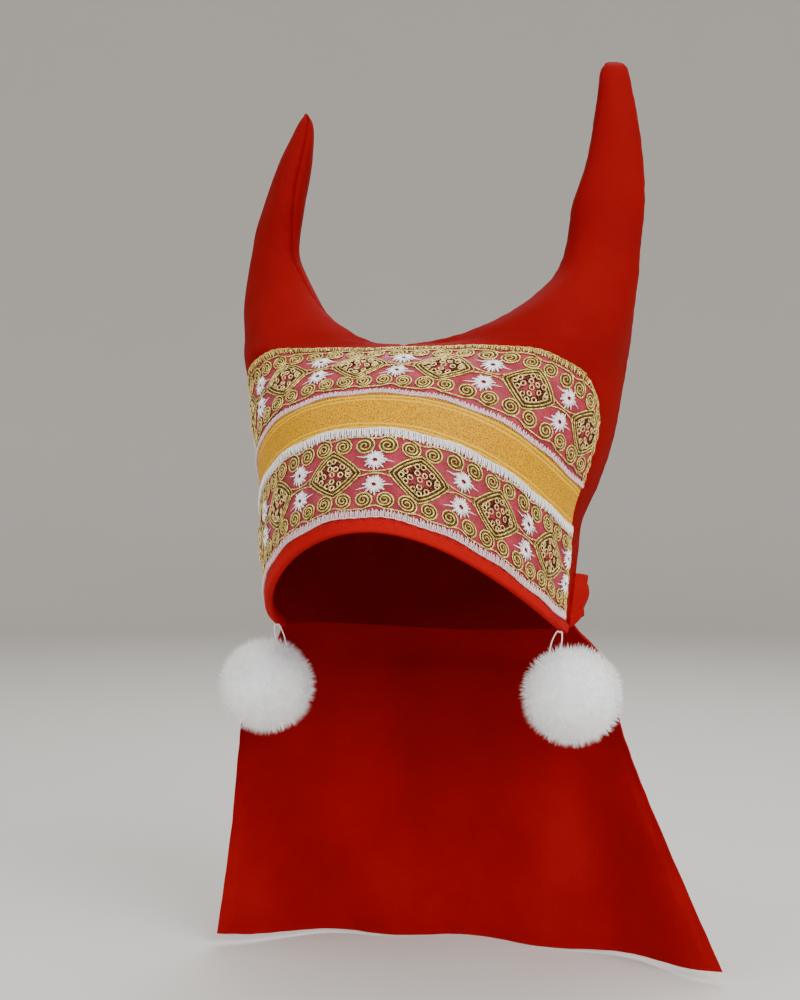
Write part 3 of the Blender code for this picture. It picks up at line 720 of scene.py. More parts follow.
def makeBinding(b):
    wide, wall = panel["binding"] + b["under"], capForm["wall"]
    outside = b["lie"]
    inside = -(wall + b["lie"] + b["thick"])
    arc = np.linspace(0.0, pi, 11)
    profile = [(wide - d, outside) for d in np.linspace(0.0, wide, 9)]
    radius = (outside - inside) / 2.0
    profile += [(-radius * b["roll"] * sin(q), outside - radius + radius * cos(q))
                for q in arc[1:-1]]
    profile += [(d, inside) for d in np.linspace(0.0, wide - 0.0006, 9)]
    profile = np.array(profile)
    marks = np.linspace(-b["end"], b["end"], 260)
    length, where = acrossAt(frontMap, 0.0)
    along = np.interp(marks, where, length)
    across = np.broadcast_to(marks, (len(profile), len(marks)))
    height = np.broadcast_to(profile[:, :1], across.shape)
    height = height - narrowing(across) * np.clip(height / wide, 0.0, 1.0)
    ripple = sum(high * np.sin(along * 2 * pi / pitch) for high, pitch in b["ripples"])
    edge = smooth(profile[:, 0] / wide)[:, None]
    out = profile[:, 1:] + ripple * edge * np.sign(profile[:, 1:])
    stitched = np.exp(-((profile[:, :1] - wide + b["stitchInset"]) / 0.0006) ** 2)
    out = out - 0.0002 * stitched * (profile[:, 1:] > 0.0)
    points = onMap(frontMap, across, height, out + np.zeros_like(across))
    around = lengthsAlong(profile, 0)
    metres = np.stack(np.broadcast_arrays(along[None, :], around[:, None]), axis=-1)
    strip = gridPiece("rimBinding", len(marks), len(profile), points, metres)
    strip.data.flip_normals()
    applied(strip, "SOLIDIFY", thickness=b["thick"], offset=1.0, use_even_offset=False)
    applied(strip, "BEVEL", width=0.0002, segments=1, limit_method="ANGLE", angle_limit=radians(60))
    dressed(strip, "bindingRed", "binding_cloth", "rim_binding")
    spots = np.linspace(-b["stitchEnd"], b["stitchEnd"], 400)
    return onMap(frontMap, spots, wide - b["stitchInset"] - narrowing(spots),
                 np.full_like(spots, outside + b["thick"]))


bindingSeam = makeBinding(binding)
print("rim bound")


def setLift(piece, values):
    # how far each point of a thread lies above its cloth, 0 to 1, for the finishes, which paint
    # shade where it is low
    layer = piece.data.attributes.new("lift", "FLOAT", "POINT")
    layer.data.foreach_set("value", np.clip(values, 0.0, 1.0))


def thread(points, radius, around, closed=False, taper=None):
    # a round thread along a list of points, its UV map in metres
    curve = bpy.data.curves.new("thread", "CURVE")
    curve.dimensions = "3D"
    curve.bevel_depth = radius
    curve.bevel_resolution = around
    curve.use_fill_caps = not closed
    spline = curve.splines.new("POLY")
    spline.points.add(len(points) - 1)
    spline.points.foreach_set("co", np.c_[points, np.ones(len(points))].ravel())
    if taper is not None:
        spline.points.foreach_set("radius", taper)
    spline.use_cyclic_u = closed
    piece = bpy.data.objects.new("thread", curve)
    bpy.context.collection.objects.link(piece)
    length = float(np.sum(np.linalg.norm(np.diff(points, axis=0), axis=1)))
    only(piece)
    bpy.ops.object.convert(target="MESH")
    piece = bpy.context.object
    layer = piece.data.uv_layers[0]
    layer.name = "UVMap"
    flat = np.empty(len(layer.data) * 2)
    layer.data.foreach_get("uv", flat)
    flat = flat.reshape(-1, 2) * (length, 2.0 * pi * radius)
    layer.data.foreach_set("uv", flat.ravel())
    return piece


stitching = {
    "long": 0.0020,
    "gap": 0.0009,
    "radius": 0.00016,
    "taper": (0.25, 0.75, 0.75, 0.25),      # each stitch thins where it dips into the cloth
}


def sewnAlong(name, slot, lines, s):
    # short stitches along lines of points on the cloth
    paths = []
    for line in lines:
        run = lengthsAlong(line, 0)
        for start in np.arange(0.002, run[-1] - s["long"], s["long"] + s["gap"]):
            spots = start + np.linspace(0.0, s["long"], len(s["taper"]))
            paths.append(np.stack([np.interp(spots, run, line[:, k]) for k in range(3)], -1))
    data = bpy.data.curves.new(name, "CURVE")
    data.dimensions = "3D"
    data.bevel_depth = s["radius"]
    data.bevel_resolution = 0
    for path in paths:
        spline = data.splines.new("POLY")
        spline.points.add(len(path) - 1)
        spline.points.foreach_set("co", np.c_[path, np.ones(len(path))].ravel())
        spline.points.foreach_set("radius", s["taper"])
    stitches = bpy.data.objects.new(name, data)
    bpy.context.collection.objects.link(stitches)
    only(stitches)
    bpy.ops.object.convert(target="MESH")
    stitches = bpy.context.object
    stitches.data.uv_layers[0].name = "UVMap"
    setLift(stitches, np.full(len(stitches.data.vertices), 0.8))
    dressed(stitches, "redThread", slot, angle=80.0)


def flatPath(points, lift):
    # points drawn flat, raised to one height
    return np.c_[points, np.full(len(points), lift)]


# One repeat of the lace braid, drawn flat: x along the braid, y up it, z out
braid = {
    "repeat": 0.0445,
    "cord": 0.00045,            # radius of the gold cord
    "spirals": 4,               # along each edge in a repeat
    "spiralRadius": 0.0052,
    "spiralTurns": 2.6,
    "spiralFlat": 0.83,         # height over width
    "spiralEdge": 0.0088,       # of the spirals' centres from the braid's edge
    "diamond": (0.0152, 0.0116),
    "diamondPower": 1.22,       # 1 has straight sides, 2 is an oval
    "goldInsets": (0.0, 0.0014, 0.0030),        # of the cords round a diamond
    "bronzeAndShadeInsets": (0.0007, 0.0021),           # of the dull threads between them, which also paint the shade between the cords
    "ring": (0.00118, 0.00036),
    "flower": 0.0060,
    "flowerAside": 0.0062,      # of a flower's centre from the braid's middle
    "rays": 14,
    "stitch": 0.00034,          # radius of the white thread
    "edgingPitch": 0.00088,
    "edgingThreads": (0.00029, 0.00024),        # radius of the stitches and of the return thread
    "raised": 0.0008,           # height at which a thread counts as clear of the cloth and gets no painted shade
    "wander": 0.0004,           # of the pattern, up and down
    "foldUnder": 0.0009,        # what is pushed deeper than this at the ends is cut off
    "endGirth": 0.145,
    "lie": 0.0004,
    "thick": 0.0005,
}


def spiralPath(centre, radius, turns, start, hand, shift=0.0):
    # a flat spiral inwards, turning one way or the other (hand)
    q = np.linspace(0.0, 1.0, int(turns * 14))
    r = radius * (1.0 - 0.88 * q) - shift
    r, q = r[r > 0.0004], q[r > 0.0004]
    angle = start + hand * q * turns * 2.0 * pi
    flat = braid["spiralFlat"]
    return np.c_[centre[0] + r * np.cos(angle), centre[1] + flat * r * np.sin(angle)]


def diamondPath(centre, halfLong, halfTall, power):
    # a rhombus with slightly bowed sides
    q = np.linspace(0.0, 2.0 * pi, 44, endpoint=False) + 0.02
    x = np.sign(np.cos(q)) * np.abs(np.cos(q)) ** (2.0 / power) * halfLong
    y = np.sign(np.sin(q)) * np.abs(np.sin(q)) ** (2.0 / power) * halfTall
    return np.c_[centre[0] + x, centre[1] + y]


def goldRepeat(b):
    half, cord = panel["braid"] / 2.0, b["cord"]
    pitch = b["repeat"] / b["spirals"]
    pieces = []
    for edge in (-1.0, 1.0):
        y = edge * (half - b["spiralEdge"])
        for k in range(b["spirals"]):
            x = (k + 0.5) * pitch
            reach = b["spiralRadius"] * (1.0 + 0.06 * sin(k * 2.3 + edge))
            tilt = 0.5 * sin(k * 4.1 + edge)
            coil = spiralPath((x, y), reach, b["spiralTurns"] + 0.2 * sin(k * 1.7),
                              edge * (0.5 * pi + tilt), edge * -1.0)
            pieces.append(thread(flatPath(coil, cord), cord, 1))
            # the cord swings on along the braid's edge to the next spiral
            w = np.linspace(0.0, 1.0, 9)
            sway = 0.0004 - 0.0016 * np.sin(pi * w) * (k % 2)
            swing = y + edge * (b["spiralFlat"] * reach + sway)
            pieces.append(thread(flatPath(np.c_[x + w * pitch, swing], cord), cord, 1))
    middle = (b["repeat"] / 2.0, 0.0)
    for inset in b["goldInsets"]:
        path = diamondPath(middle, b["diamond"][0] - inset * 1.5, b["diamond"][1] - inset * 1.2,
                           b["diamondPower"])
        pieces.append(thread(flatPath(path, cord * 0.9), cord * 0.9, 1, closed=True))
    ends = np.array((b["diamond"][0], b["repeat"] - b["diamond"][0])) + middle[0]
    x = np.linspace(ends[0] - 0.0020, ends[1] + 0.0020, 12)
    for level in (-1.0, 1.0):           # the cords from diamond to diamond
        y = level * (0.0005 + 0.0011 * ((x - ends.mean()) / (ends[1] - ends[0])) ** 2 * 4.0)
        pieces.append(thread(flatPath(np.c_[x, y], cord), cord * 0.85, 1))
    return joined("goldRepeat", *pieces)


def bronzeAndShadeRepeat(b):
    # duller thread between the turns of the gold cord and between the diamond's cords, dark enough
    # to stand also for painted shade in those gaps, and scribbled inside the diamonds
    half = panel["braid"] / 2.0
    pitch = b["repeat"] / b["spirals"]
    pieces = []
    for edge in (-1.0, 1.0):
        y = edge * (half - b["spiralEdge"])
        for k in range(b["spirals"]):
            coil = spiralPath(((k + 0.5) * pitch, y), b["spiralRadius"], b["spiralTurns"],
                              edge * 0.5 * pi, edge * -1.0, b["spiralRadius"] * 0.17)
            pieces.append(thread(flatPath(coil, 0.00015), 0.00055, 0))
    middle = b["repeat"] / 2.0
    for inset in b["bronzeAndShadeInsets"]:
        path = diamondPath((middle, 0.0), b["diamond"][0] - inset * 1.5,
                           b["diamond"][1] - inset * 1.2, b["diamondPower"])
        pieces.append(thread(flatPath(path, 0.0002), 0.00042, 0, closed=True))
    q = np.linspace(0.0, 2.0 * pi, 150, endpoint=False)
    depth = 0.56 + 0.24 * np.sin(q * 31.0) + 0.10 * np.sin(q * 7.0)
    power = 2.0 / b["diamondPower"]
    scribble = np.c_[middle + np.sign(np.cos(q)) * np.abs(np.cos(q)) ** power * depth
                     * b["diamond"][0],
                     np.sign(np.sin(q)) * np.abs(np.sin(q)) ** power * depth * b["diamond"][1]]
    pieces.append(thread(flatPath(scribble, 0.0003), 0.00026, 0, closed=True))
    return joined("bronzeAndShadeRepeat", *pieces)


def ringRepeat(b):
    # ring sequins crowded round the inside of a diamond
    middle = b["repeat"] / 2.0
    long, tall = b["diamond"][0] - 0.0058, b["diamond"][1] - 0.0046
    power = 2.0 / b["diamondPower"]
    spots = []
    for share, count, turned in ((0.98, 11, 0.25), (0.52, 5, 0.9), (0.0, 1, 0.0)):
        q = np.arange(count) * 2.0 * pi / count + turned + 0.12 * np.sin(np.arange(count) * 5.3)
        spots += list(zip(middle + share * long * np.sign(np.cos(q)) * np.abs(np.cos(q)) ** power,
                          share * tall * np.sign(np.sin(q)) * np.abs(np.sin(q)) ** power))
    pieces = []
    for k, (x, y) in enumerate(spots):
        bpy.ops.object.select_all(action="DESELECT")
        bpy.ops.mesh.primitive_torus_add(
            location=(x, y, 0.0009 + 0.0003 * (k % 3)), major_radius=b["ring"][0],
            minor_radius=b["ring"][1], major_segments=14, minor_segments=6,
            rotation=(0.25 * sin(k * 2.1), 0.25 * cos(k * 1.7), 0.0))
        ring = bpy.context.object
        bpy.ops.object.transform_apply(location=True, rotation=True, scale=True)
        setUv(ring, getPlaces(ring)[:, :2])
        pieces.append(ring)
    return joined("ringRepeat", *pieces)


def flowerRepeat(b):
    # two starbursts of satin stitches between the diamonds, with their thread tails
    pieces = []
    steps = np.linspace(0.0, 1.0, 5)
    for side in (-1.0, 1.0):
        cx, cy = 0.0, side * b["flowerAside"]
        for k in range(2 * b["rays"]):
            q = pi * (k + 0.25 * sin(k * 5.1)) / b["rays"] + 0.1 * side
            upper = k % 2 == 0
            reach = b["flower"] * (0.90 + 0.09 * sin(k * 4.7 + side)) * (1.0 if upper else 0.85)
            r = 0.0014 + 0.0003 * sin(k * 2.9) + steps * (reach - 0.0014)
            height = (0.0005 if upper else 0.0002) + 0.0007 * np.sin((0.2 + 0.75 * steps) * pi)
            path = np.c_[cx + r * cos(q), cy + 0.9 * r * sin(q), height]
            pieces.append(thread(path, b["stitch"] * 1.25, 0, taper=1.0 - 0.40 * steps ** 3))
        for along, slope in ((-1.0, 0.20), (1.0, -0.10)):
            far = b["flower"] * 0.8 + steps * 0.0046
            path = np.c_[cx + along * far, cy + side * (slope * far + 0.0004),
                         0.0006 - 0.0003 * steps]
            pieces.append(thread(path, b["stitch"], 0, taper=1.0 - 0.7 * steps))
    return joined("flowerRepeat", *pieces)


def edgingRepeat(b, edge, width):
    # overlocked edge: close stitches across it, and the return thread under them
    half = panel["braid"] / 2.0 + 0.0002
    count = int(round(b["repeat"] / b["edgingPitch"]))
    step = b["repeat"] / count
    path = []
    for k in range(count):
        x, inner = k * step, half - width * (0.88 + 0.16 * sin(k * 3.3) + 0.08 * sin(k * 7.7))
        lean = 0.25 * sin(k * 1.9) * step
        path += [(x, half, 0.0004), (x + 0.1 * step, half - 0.0003, 0.0009),
                 (x + 0.3 * step + lean, (half + inner) / 2.0, 0.0011),
                 (x + 0.45 * step + lean, inner, 0.0008), (x + 0.7 * step, inner + 0.0004, 0.0003)]
    path.append((b["repeat"], half, 0.0004))
    path = np.array(path) * (1.0, edge, 1.0)
    x = np.linspace(0.0, b["repeat"], 60)
    lock = np.c_[x, edge * (half - 0.0003 - 0.0002 * np.sin(x * 2.0 * pi / step)),
                 np.full_like(x, 0.0010)]
    stitches, back = b["edgingThreads"]
    return joined("edgingRepeat", thread(path, stitches, 0), thread(lock, back, 0))


def layBand(piece, low, phase, lie):
    # repeats a flat piece along the panel, lays it on the cloth and folds its ends under
    middle = low + panel["braid"] / 2.0
    length, marks = acrossAt(frontMap, middle)
    repeat = braid["repeat"]
    first = int(np.floor((length[0] - phase) / repeat)) - 1
    last = int(np.ceil((length[-1] - phase) / repeat)) + 1
    applied(piece, "ARRAY", count=last - first, use_relative_offset=False,
            use_constant_offset=True, constant_offset_displace=(repeat, 0.0, 0.0))
    places = getPlaces(piece)
    # the lift that the finishes paint shade from, darker low on the cloth
    setLift(piece, places[:, 2] / braid["raised"])
    x = places[:, 0] + first * repeat + phase
    height = middle + places[:, 1]
    across = np.interp(x, length, marks, left=-2.0, right=2.0)
    past = np.abs(across) - panelEnd(height)
    girth = length[-1] - length[0]
    excess = np.maximum(past, 0.0) * girth / 2.0
    across = np.sign(across) * np.minimum(np.abs(across), panelEnd(height))
    wander = braid["wander"] * np.sin(x * 190.0 + low * 900.0)
    out = lie + places[:, 2] - excess
    setPlaces(piece, onBand(across, height + wander, out))
    mesh = bmesh.new()
    mesh.from_mesh(piece.data)
    mesh.verts.ensure_lookup_table()
    gone = [mesh.verts[k] for k in np.flatnonzero(excess > braid["foldUnder"])]
    bmesh.ops.delete(mesh, geom=gone, context="VERTS")
    bmesh.ops.holes_fill(mesh, edges=mesh.edges[:], sides=8)
    mesh.to_mesh(piece.data)
    mesh.free()
    return piece


def bandGround(name, low, high, finish, slot, node, lie, thick, ruffle=0.0):
    # the flat cloth of a band
    columns, rows = 300, 15
    v = np.linspace(0.0, 1.0, rows)[:, None]
    u = np.linspace(-1.0, 1.0, columns)[None, :]
    length, marks = acrossAt(frontMap, (low + high) / 2.0)
    height = low + (high - low) * v + np.zeros((rows, columns))
    across = u * panelEnd(height)
    along = np.interp(across, marks, length)
    edge = smooth((np.abs(v - 0.5) - 0.36) / 0.14)
    height = height + ruffle * edge * np.sin(along * 520.0) * np.sign(v - 0.5)
    out = lie + 0.0001 * np.sin(along * 300.0) * edge
    points = onBand(across, height, out)
    metres = np.stack((along, height - low), axis=-1)
    piece = gridPiece(name, columns, rows, points, metres)
    applied(piece, "SOLIDIFY", thickness=thick, offset=1.0, use_even_offset=False)
    return dressed(piece, finish, slot, node)


def endCords(name, low, b):
    # the gold cord that finishes each end of a braid
    pieces = []
    for side in (-1.0, 1.0):
        for inset in (0.0, 0.0016):
            height = low + 0.0008 + np.linspace(0.0, 1.0, 60) * (panel["braid"] - 0.0016)
            waver = 0.0007 * np.sin(height * 900.0 + inset * 1000.0)
            across = side * (panelEnd(height) - (0.0006 + inset + waver) / b["endGirth"])
            path = onBand(across, height, np.full_like(height, b["lie"] + b["thick"] + b["cord"]))
            pieces.append(thread(path, b["cord"] * 1.1, 1))
    ends = joined(name, *pieces)
    setLift(ends, np.full(len(ends.data.vertices), 0.8))
    return ends


def makeBraid(name, low, phase, node, edges, b):
    top = b["lie"] + b["thick"] - 0.0001
    bandGround(name + "Ground", low + 0.0002, low + panel["braid"] - 0.0002, "organza",
               "lace_braid", node, b["lie"], b["thick"], 0.0003)
    cords = joined(name + "Cords", layBand(goldRepeat(b), low, phase, top),
                   endCords("ends", low, b))
    dressed(cords, "gold", "lace_braid", angle=80.0)
    layers = [("Bronze", bronzeAndShadeRepeat(b), "bronze", "lace_braid"),
              ("Rings", ringRepeat(b), "ring", "lace_braid"),
              ("Flowers", flowerRepeat(b), "white", "white_thread")]
    for label, edge, finish, width in edges:
        slot = "lace_braid" if finish == "gold" else "white_thread"
        layers.append((label, edgingRepeat(b, edge, width), finish, slot))
    for label, flat, finish, slot in layers:
        laid = layBand(flat, low, phase, top)
        laid.name = laid.data.name = name + label
        dressed(laid, finish, slot, angle=80.0)


# where each braid's pattern starts, and its two edges: which side, finish and stitch length
braidRows = {
    "lowerBraid": ("lower_lace_braid", 0.0035,
                   (("LowEdge", -1.0, "edging", 0.0038), ("HighEdge", 1.0, "white", 0.0046))),
    "upperBraid": ("upper_lace_braid", 0.0085,
                   (("LowEdge", -1.0, "edging", 0.0025), ("HighEdge", 1.0, "gold", 0.0034))),
}
lowerLow = panel["binding"] + 0.0005
upperLow = lowerLow + panel["braid"] + panel["ribbon"]
for low, (name, (node, phase, edges)) in zip((lowerLow, upperLow), braidRows.items()):
    makeBraid(name, low, phase, node, edges, braid)
    print(name, "laid")

finishes["ribbon"] = ribbonFinish("yellowJacquard", panel["ribbon"])
bandGround("yellowRibbon", lowerLow + panel["braid"] - 0.0004, upperLow + 0.0004, "ribbon",
           "yellow_ribbon", "yellow_ribbon", 0.0004, 0.0006)
print("ribbon laid")

# The nape cloth, in millimetres: its edges and its middle from the seam down to the hem
nape = {
    "columnNames": ("leftX", "leftY", "rightX", "rightY", "middleY", "edgeZ", "middleZ"),
    "rows": (
        (93.0, 22.0, -95.0, 18.0, 93.5, -17.0, -22.0),
        (98.0, 38.0, -112.0, 26.0, 91.0, -40.0, -43.0),
        (102.0, 52.0, -122.0, 32.0, 90.0, -64.0, -66.0),
        (114.0, 59.0, -127.0, 36.0, 91.0, -98.0, -100.0),
        (131.0, 60.0, -133.0, 40.0, 96.0, -138.0, -142.0),
        (156.0, 56.0, -143.0, 44.0, 102.0, -192.0, -198.0),
    ),
    "lie": 0.0006,
    "thick": 0.0009,
    "lap": 0.94,            # how much of the back cloth's edge it is sewn to
    "overlap": 0.010,
    "folds": 3.5,
    "foldDepth": 0.0050,
    "hem": 0.0062,
    "hemThick": 0.0005,
    "ripples": 0.0007,      # along the edges
    "drape": 0.0016,        # soft dents all over
    "fineColumns": 170,
    "fineRows": 110,
}


def makeNapeCloth(n):
    u = np.linspace(-1.0, 1.0, n["fineColumns"])
    table = np.array(n["rows"])
    steps = 11
    coarse = []
    for down in range(steps + 1):
        if down <= 2:       # sewn over the back cloth's lower edge
            height = np.full_like(u, 0.003 + n["overlap"] * (1.0 - down / 2.0))
            coarse.append(onMap(backMap, u * n["lap"], height, np.full_like(u, n["lie"])))
            continue
        position = (down - 3) / (steps - 3) * (len(table) - 1)
        v = dict(zip(n["columnNames"], throughRows(table, np.array([position]))[0]))
        sideX = np.where(u >= 0.0, v["leftX"], v["rightX"])
        sideY = np.where(u >= 0.0, v["leftY"], v["rightY"])
        s, hang = np.abs(u), position / (len(table) - 1)
        roundX, roundY = np.sin(s * pi / 2.0), 1.0 - np.cos(s * pi / 2.0)
        x = sideX * (roundX + (s - roundX) * hang * 0.8)
        y = v["middleY"] + (sideY - v["middleY"]) * (roundY + (s * s - roundY) * hang)
        z = v["middleZ"] + (v["edgeZ"] - v["middleZ"]) * s * s
        fold = np.cos(u * pi * n["folds"]) * n["foldDepth"] * hang ** 1.3
        coarse.append(np.stack((x * 0.001, y * 0.001 + fold, z * 0.001), axis=-1))
    rows = np.linspace(0.0, steps, n["fineRows"])
    points = throughRows(np.array(coarse), rows)
    along, downward = lengthsAlong(points, 1), lengthsAlong(points, 0)
    normals = -unit(np.cross(np.gradient(points, axis=1), np.gradient(points, axis=0)))
    fromEdge = np.minimum(along, along[:, -1:] - along)
    fromHem = downward[-1:] - downward
    edge = np.minimum(fromEdge, fromHem)
    free = smooth((downward - 0.014) / 0.02)
    hemmed = n["hemThick"] * smooth((n["hem"] + 0.0005 - edge) / 0.0008)
    stitched = -0.0003 * np.exp(-((edge - n["hem"] + 0.0010) / 0.0006) ** 2)
    ripples = n["ripples"] * noiseAt(points, 95.0, 2.2) * smooth((0.016 - edge) / 0.016)
    drape = n["drape"] * noiseAt(points, 17.0, 6.4, (1.0, 1.0, 0.35))
    points = points - normals * ((hemmed + stitched + ripples * free + drape * free)[..., None])
    metres = np.stack((along, downward), axis=-1)
    order = slice(None, None, -1)       # the top row last, so that the faces look outwards
    cloth = gridPiece("napeCloth", points.shape[1], points.shape[0], points[order], metres[order])
    cloth.data.flip_normals()
    applied(cloth, "SOLIDIFY", thickness=n["thick"], offset=1.0, use_even_offset=False)
    dressed(cloth, "napeRedWithPaintedLight", "cap_cloth", "nape_cloth")
    return [hemLine(points, -normals, downward, n, side) for side in (-1, 0, 1)]


def hemLine(points, out, downward, n, side):
    # the line that the hem is sewn on: down one side edge (-1 or 1) or along the bottom (0)
    inset = n["hem"] - 0.0010
    lift = n["thick"] + 0.0001
    if side:
        edge = points[:, ::-1] if side > 0 else points
        outs = out[:, ::-1] if side > 0 else out
        keep = downward[:, -1 if side > 0 else 0] > 0.016
        edge, outs = edge[keep], outs[keep]
    else:
        edge, outs = points[::-1].transpose(1, 0, 2), out[::-1].transpose(1, 0, 2)
    lengths = lengthsAlong(edge, 1)
    line = []
    for row, normal, length in zip(edge, outs, lengths):
        line.append([np.interp(inset, length, row[:, k] + normal[:, k] * lift) for k in range(3)])
    return np.array(line)


napeHems = makeNapeCloth(nape)
print("nape cloth hung")

# The ties run from the temple corners round the nape to a knot
ties = {
    "width": 0.018,         # at the knot
    "startWidth": 0.022,    # where it is sewn into the side seam
    "startHigh": 0.0205,    # of its middle there above the cap's lower edge
    "fan": 0.0080,          # how much farther it reaches down along the seam
    "drop": 0.0092,         # how far it sinks behind the temple
    "puff": 0.0035,         # how far it stands off there
    "thick": 0.0010,
    "standOff": 0.0034,
    "from": 0.990,          # across the back, at the side seam
    "run": 0.925,           # and how far from there to the knot
    "tied": 0.55,           # how much narrower it is drawn at the knot
    "hem": (0.62, 0.07, 0.0005),    # its line's place on the half width, width and depth
    "fold": 0.0009,         # the slanting fold
    "gather": 0.0007,       # pleats at the knot
    "columns": 130,
    "rows": 25,
}


def makeTie(name, sideName, node, t):
    side = sides[sideName]
    along = np.linspace(0.0, 1.0, t["columns"])[None, :]
    v = np.linspace(-1.0, 1.0, t["rows"])[:, None]
    across = side * (t["from"] - along * t["run"]) + np.zeros_like(v)
    gathered = smooth(along / 0.5)
    width = t["startWidth"] + (t["width"] - t["startWidth"]) * gathered
    width = width * (1.0 - t["tied"] * smooth((along - 0.82) / 0.14))
    middle = t["startHigh"] - t["drop"] * gathered
    puff = t["puff"] * smooth(along / 0.09) * smooth((0.45 - along) / 0.33)
    crease = 0.0004 * np.sin(v * 4.0 + along * 9.0) * smooth(along / 0.1)
    gather = t["gather"] * np.sin(v * 11.0) * smooth((along - 0.75) / 0.25)
    hemAt, hemWide, hemDeep = t["hem"]
    hem = -hemDeep * np.exp(-((np.abs(v) - hemAt) / hemWide) ** 2)
    fold = t["fold"] * np.exp(-((v - 0.25 + along * 1.5) / 0.35) ** 2) * smooth(along / 0.05)
    sewn = 1.0 - smooth(along / 0.05)
    out = t["standOff"] * (1.0 - sewn * 0.7) + puff + crease + gather + hem + fold
    fan = t["fan"] * (1.0 - smooth(along / 0.075)) * np.clip(-v, 0.0, 1.0)
    points = onMap(backMap, across, middle + v * width / 2.0 - fan, out)
    metres = np.stack((lengthsAlong(points, 1), lengthsAlong(points, 0)), axis=-1)
    if side < 0.0:
        points, metres = points[:, ::-1], metres[:, ::-1]
    strip = gridPiece(name, t["columns"], t["rows"], points, metres)
    applied(strip, "SOLIDIFY", thickness=t["thick"], offset=-1.0, use_even_offset=False)
    applied(strip, "BEVEL", width=0.00025, segments=2, limit_method="ANGLE",
            angle_limit=radians(60))
    dressed(strip, "napeRedWithPaintedLight", "cap_cloth", node)


for sideName in sides:
    makeTie("tie" + sideName.title(), sideName, "tie_" + sideName, ties)
sewnAlong("bindingStitches", "binding_cloth", [bindingSeam], stitching)
sewnAlong("hemStitches", "cap_cloth", napeHems, stitching)
print("ties laid, hems sewn")

# White fur pompoms
pompoms = {
    "reach": (0.0250, 0.0292),      # of the hairs' ends from the middle
    "core": 0.0236,
    "hairs": 9000,
    "hairWidth": 0.00011,
    "lean": (0.20, 0.45, -0.10),    # each hair by itself, in clumps, and down
    "bend": 0.0005,
    "sweep": 0.0048,        # how far the lean carries the tips
    "seeds": {"left": 7, "right": 8},
    "centres": {"left": (0.0835, -0.0050, -0.0335), "right": (-0.0910, -0.0050, -0.0340)},
}


def makePompom(sideName, p):
    centre = np.array(p["centres"][sideName])
    bpy.ops.object.select_all(action="DESELECT")
    bpy.ops.mesh.primitive_ico_sphere_add(subdivisions=5, radius=p["core"])
    core = bpy.context.object
    places = getPlaces(core)
    lumps = noiseAt(places, 70.0, 4.0 + centre[0]) * 0.0010 + noiseAt(places, 260.0) * 0.0004
    setPlaces(core, places + unit(places) * lumps[:, None] + centre)
    dice = np.random.default_rng(p["seeds"][sideName])
    count = p["hairs"]
    k = np.arange(count) + 0.5
    polar, turn = np.arccos(1.0 - 2.0 * k / count), pi * (1.0 + sqrt(5.0)) * k
    root = np.stack((np.sin(polar) * np.cos(turn), np.sin(polar) * np.sin(turn), np.cos(polar)), -1)
    lean = dice.normal(0.0, 1.0, (count, 3))
    noise.seed_set(p["seeds"][sideName])      # else noise_vector differs on each run
    clump = np.array([noise.noise_vector(Vector(r * 4.0 + centre * 50.0)) for r in root])
    alone, together, down = p["lean"]
    lean = lean * alone + clump * together + np.array((0.0, 0.0, down))
    aim = unit(root + lean - root * np.sum(lean * root, axis=1, keepdims=True))
    bend = unit(np.cross(aim, dice.normal(0.0, 1.0, (count, 3)))) * p["bend"]
    start = root * p["core"] * 0.96
    low, high = p["reach"]
    reach = low + (high - low) * dice.uniform(0.0, 1.0, count) ** 1.4
    reach = reach * (1.0 + 0.03 * noiseAt(root, 1.6, centre[0] * 30.0))
    tip = root * reach[:, None] + (aim - root) * p["sweep"]
    sideA = unit(np.cross(root, dice.normal(0.0, 1.0, (count, 3))))
    sideB = np.cross(root, sideA)
    rings = []
    for w, width in ((0.0, 1.0), (0.55, 0.85)):
        middle = start + (tip - start) * w + bend * sin(w * pi)
        for q in (0.0, 2.0 * pi / 3.0, 4.0 * pi / 3.0):
            rings.append(middle + (sideA * cos(q) + sideB * sin(q)) * p["hairWidth"] * width)
    rings.append(tip)
    points = np.stack(rings, axis=1).reshape(-1, 3) + centre
    base = (np.arange(count) * 7)[:, None]
    quads = np.concatenate([base + np.array([[a, (a + 1) % 3, 3 + (a + 1) % 3, 3 + a]])
                            for a in range(3)])
    tops = np.concatenate([base + np.array([[3 + a, 3 + (a + 1) % 3, 6]]) for a in range(3)])
    feet = base + np.array([[2, 1, 0]])
    data = bpy.data.meshes.new("hairs")
    data.from_pydata(points.tolist(), [], quads.tolist() + tops.tolist() + feet.tolist())
    hairs = bpy.data.objects.new("hairs", data)
    bpy.context.collection.objects.link(hairs)
    ball = joined("pompom" + sideName.title(), core, hairs)
    dressed(ball, "fur", "white_fur", "pompom_" + sideName, angle=80.0)


for sideName in sides:
    makePompom(sideName, pompoms)
print("pompoms made")


# Each pompom hangs on a loop of twisted white thread from under the binding
loops = {
    "across": 0.93,
    "below": 0.0030,        # of the loop's top under the rim
    "spread": 0.0036,
    "strand": 0.00023,      # radius of each of its two strands
    "twistPitch": 0.0018,
    "foot": 0.0100,         # of its ends from the pompom's middle, towards the face
    "sink": 0.0010,         # how far they reach in between the hairs
}


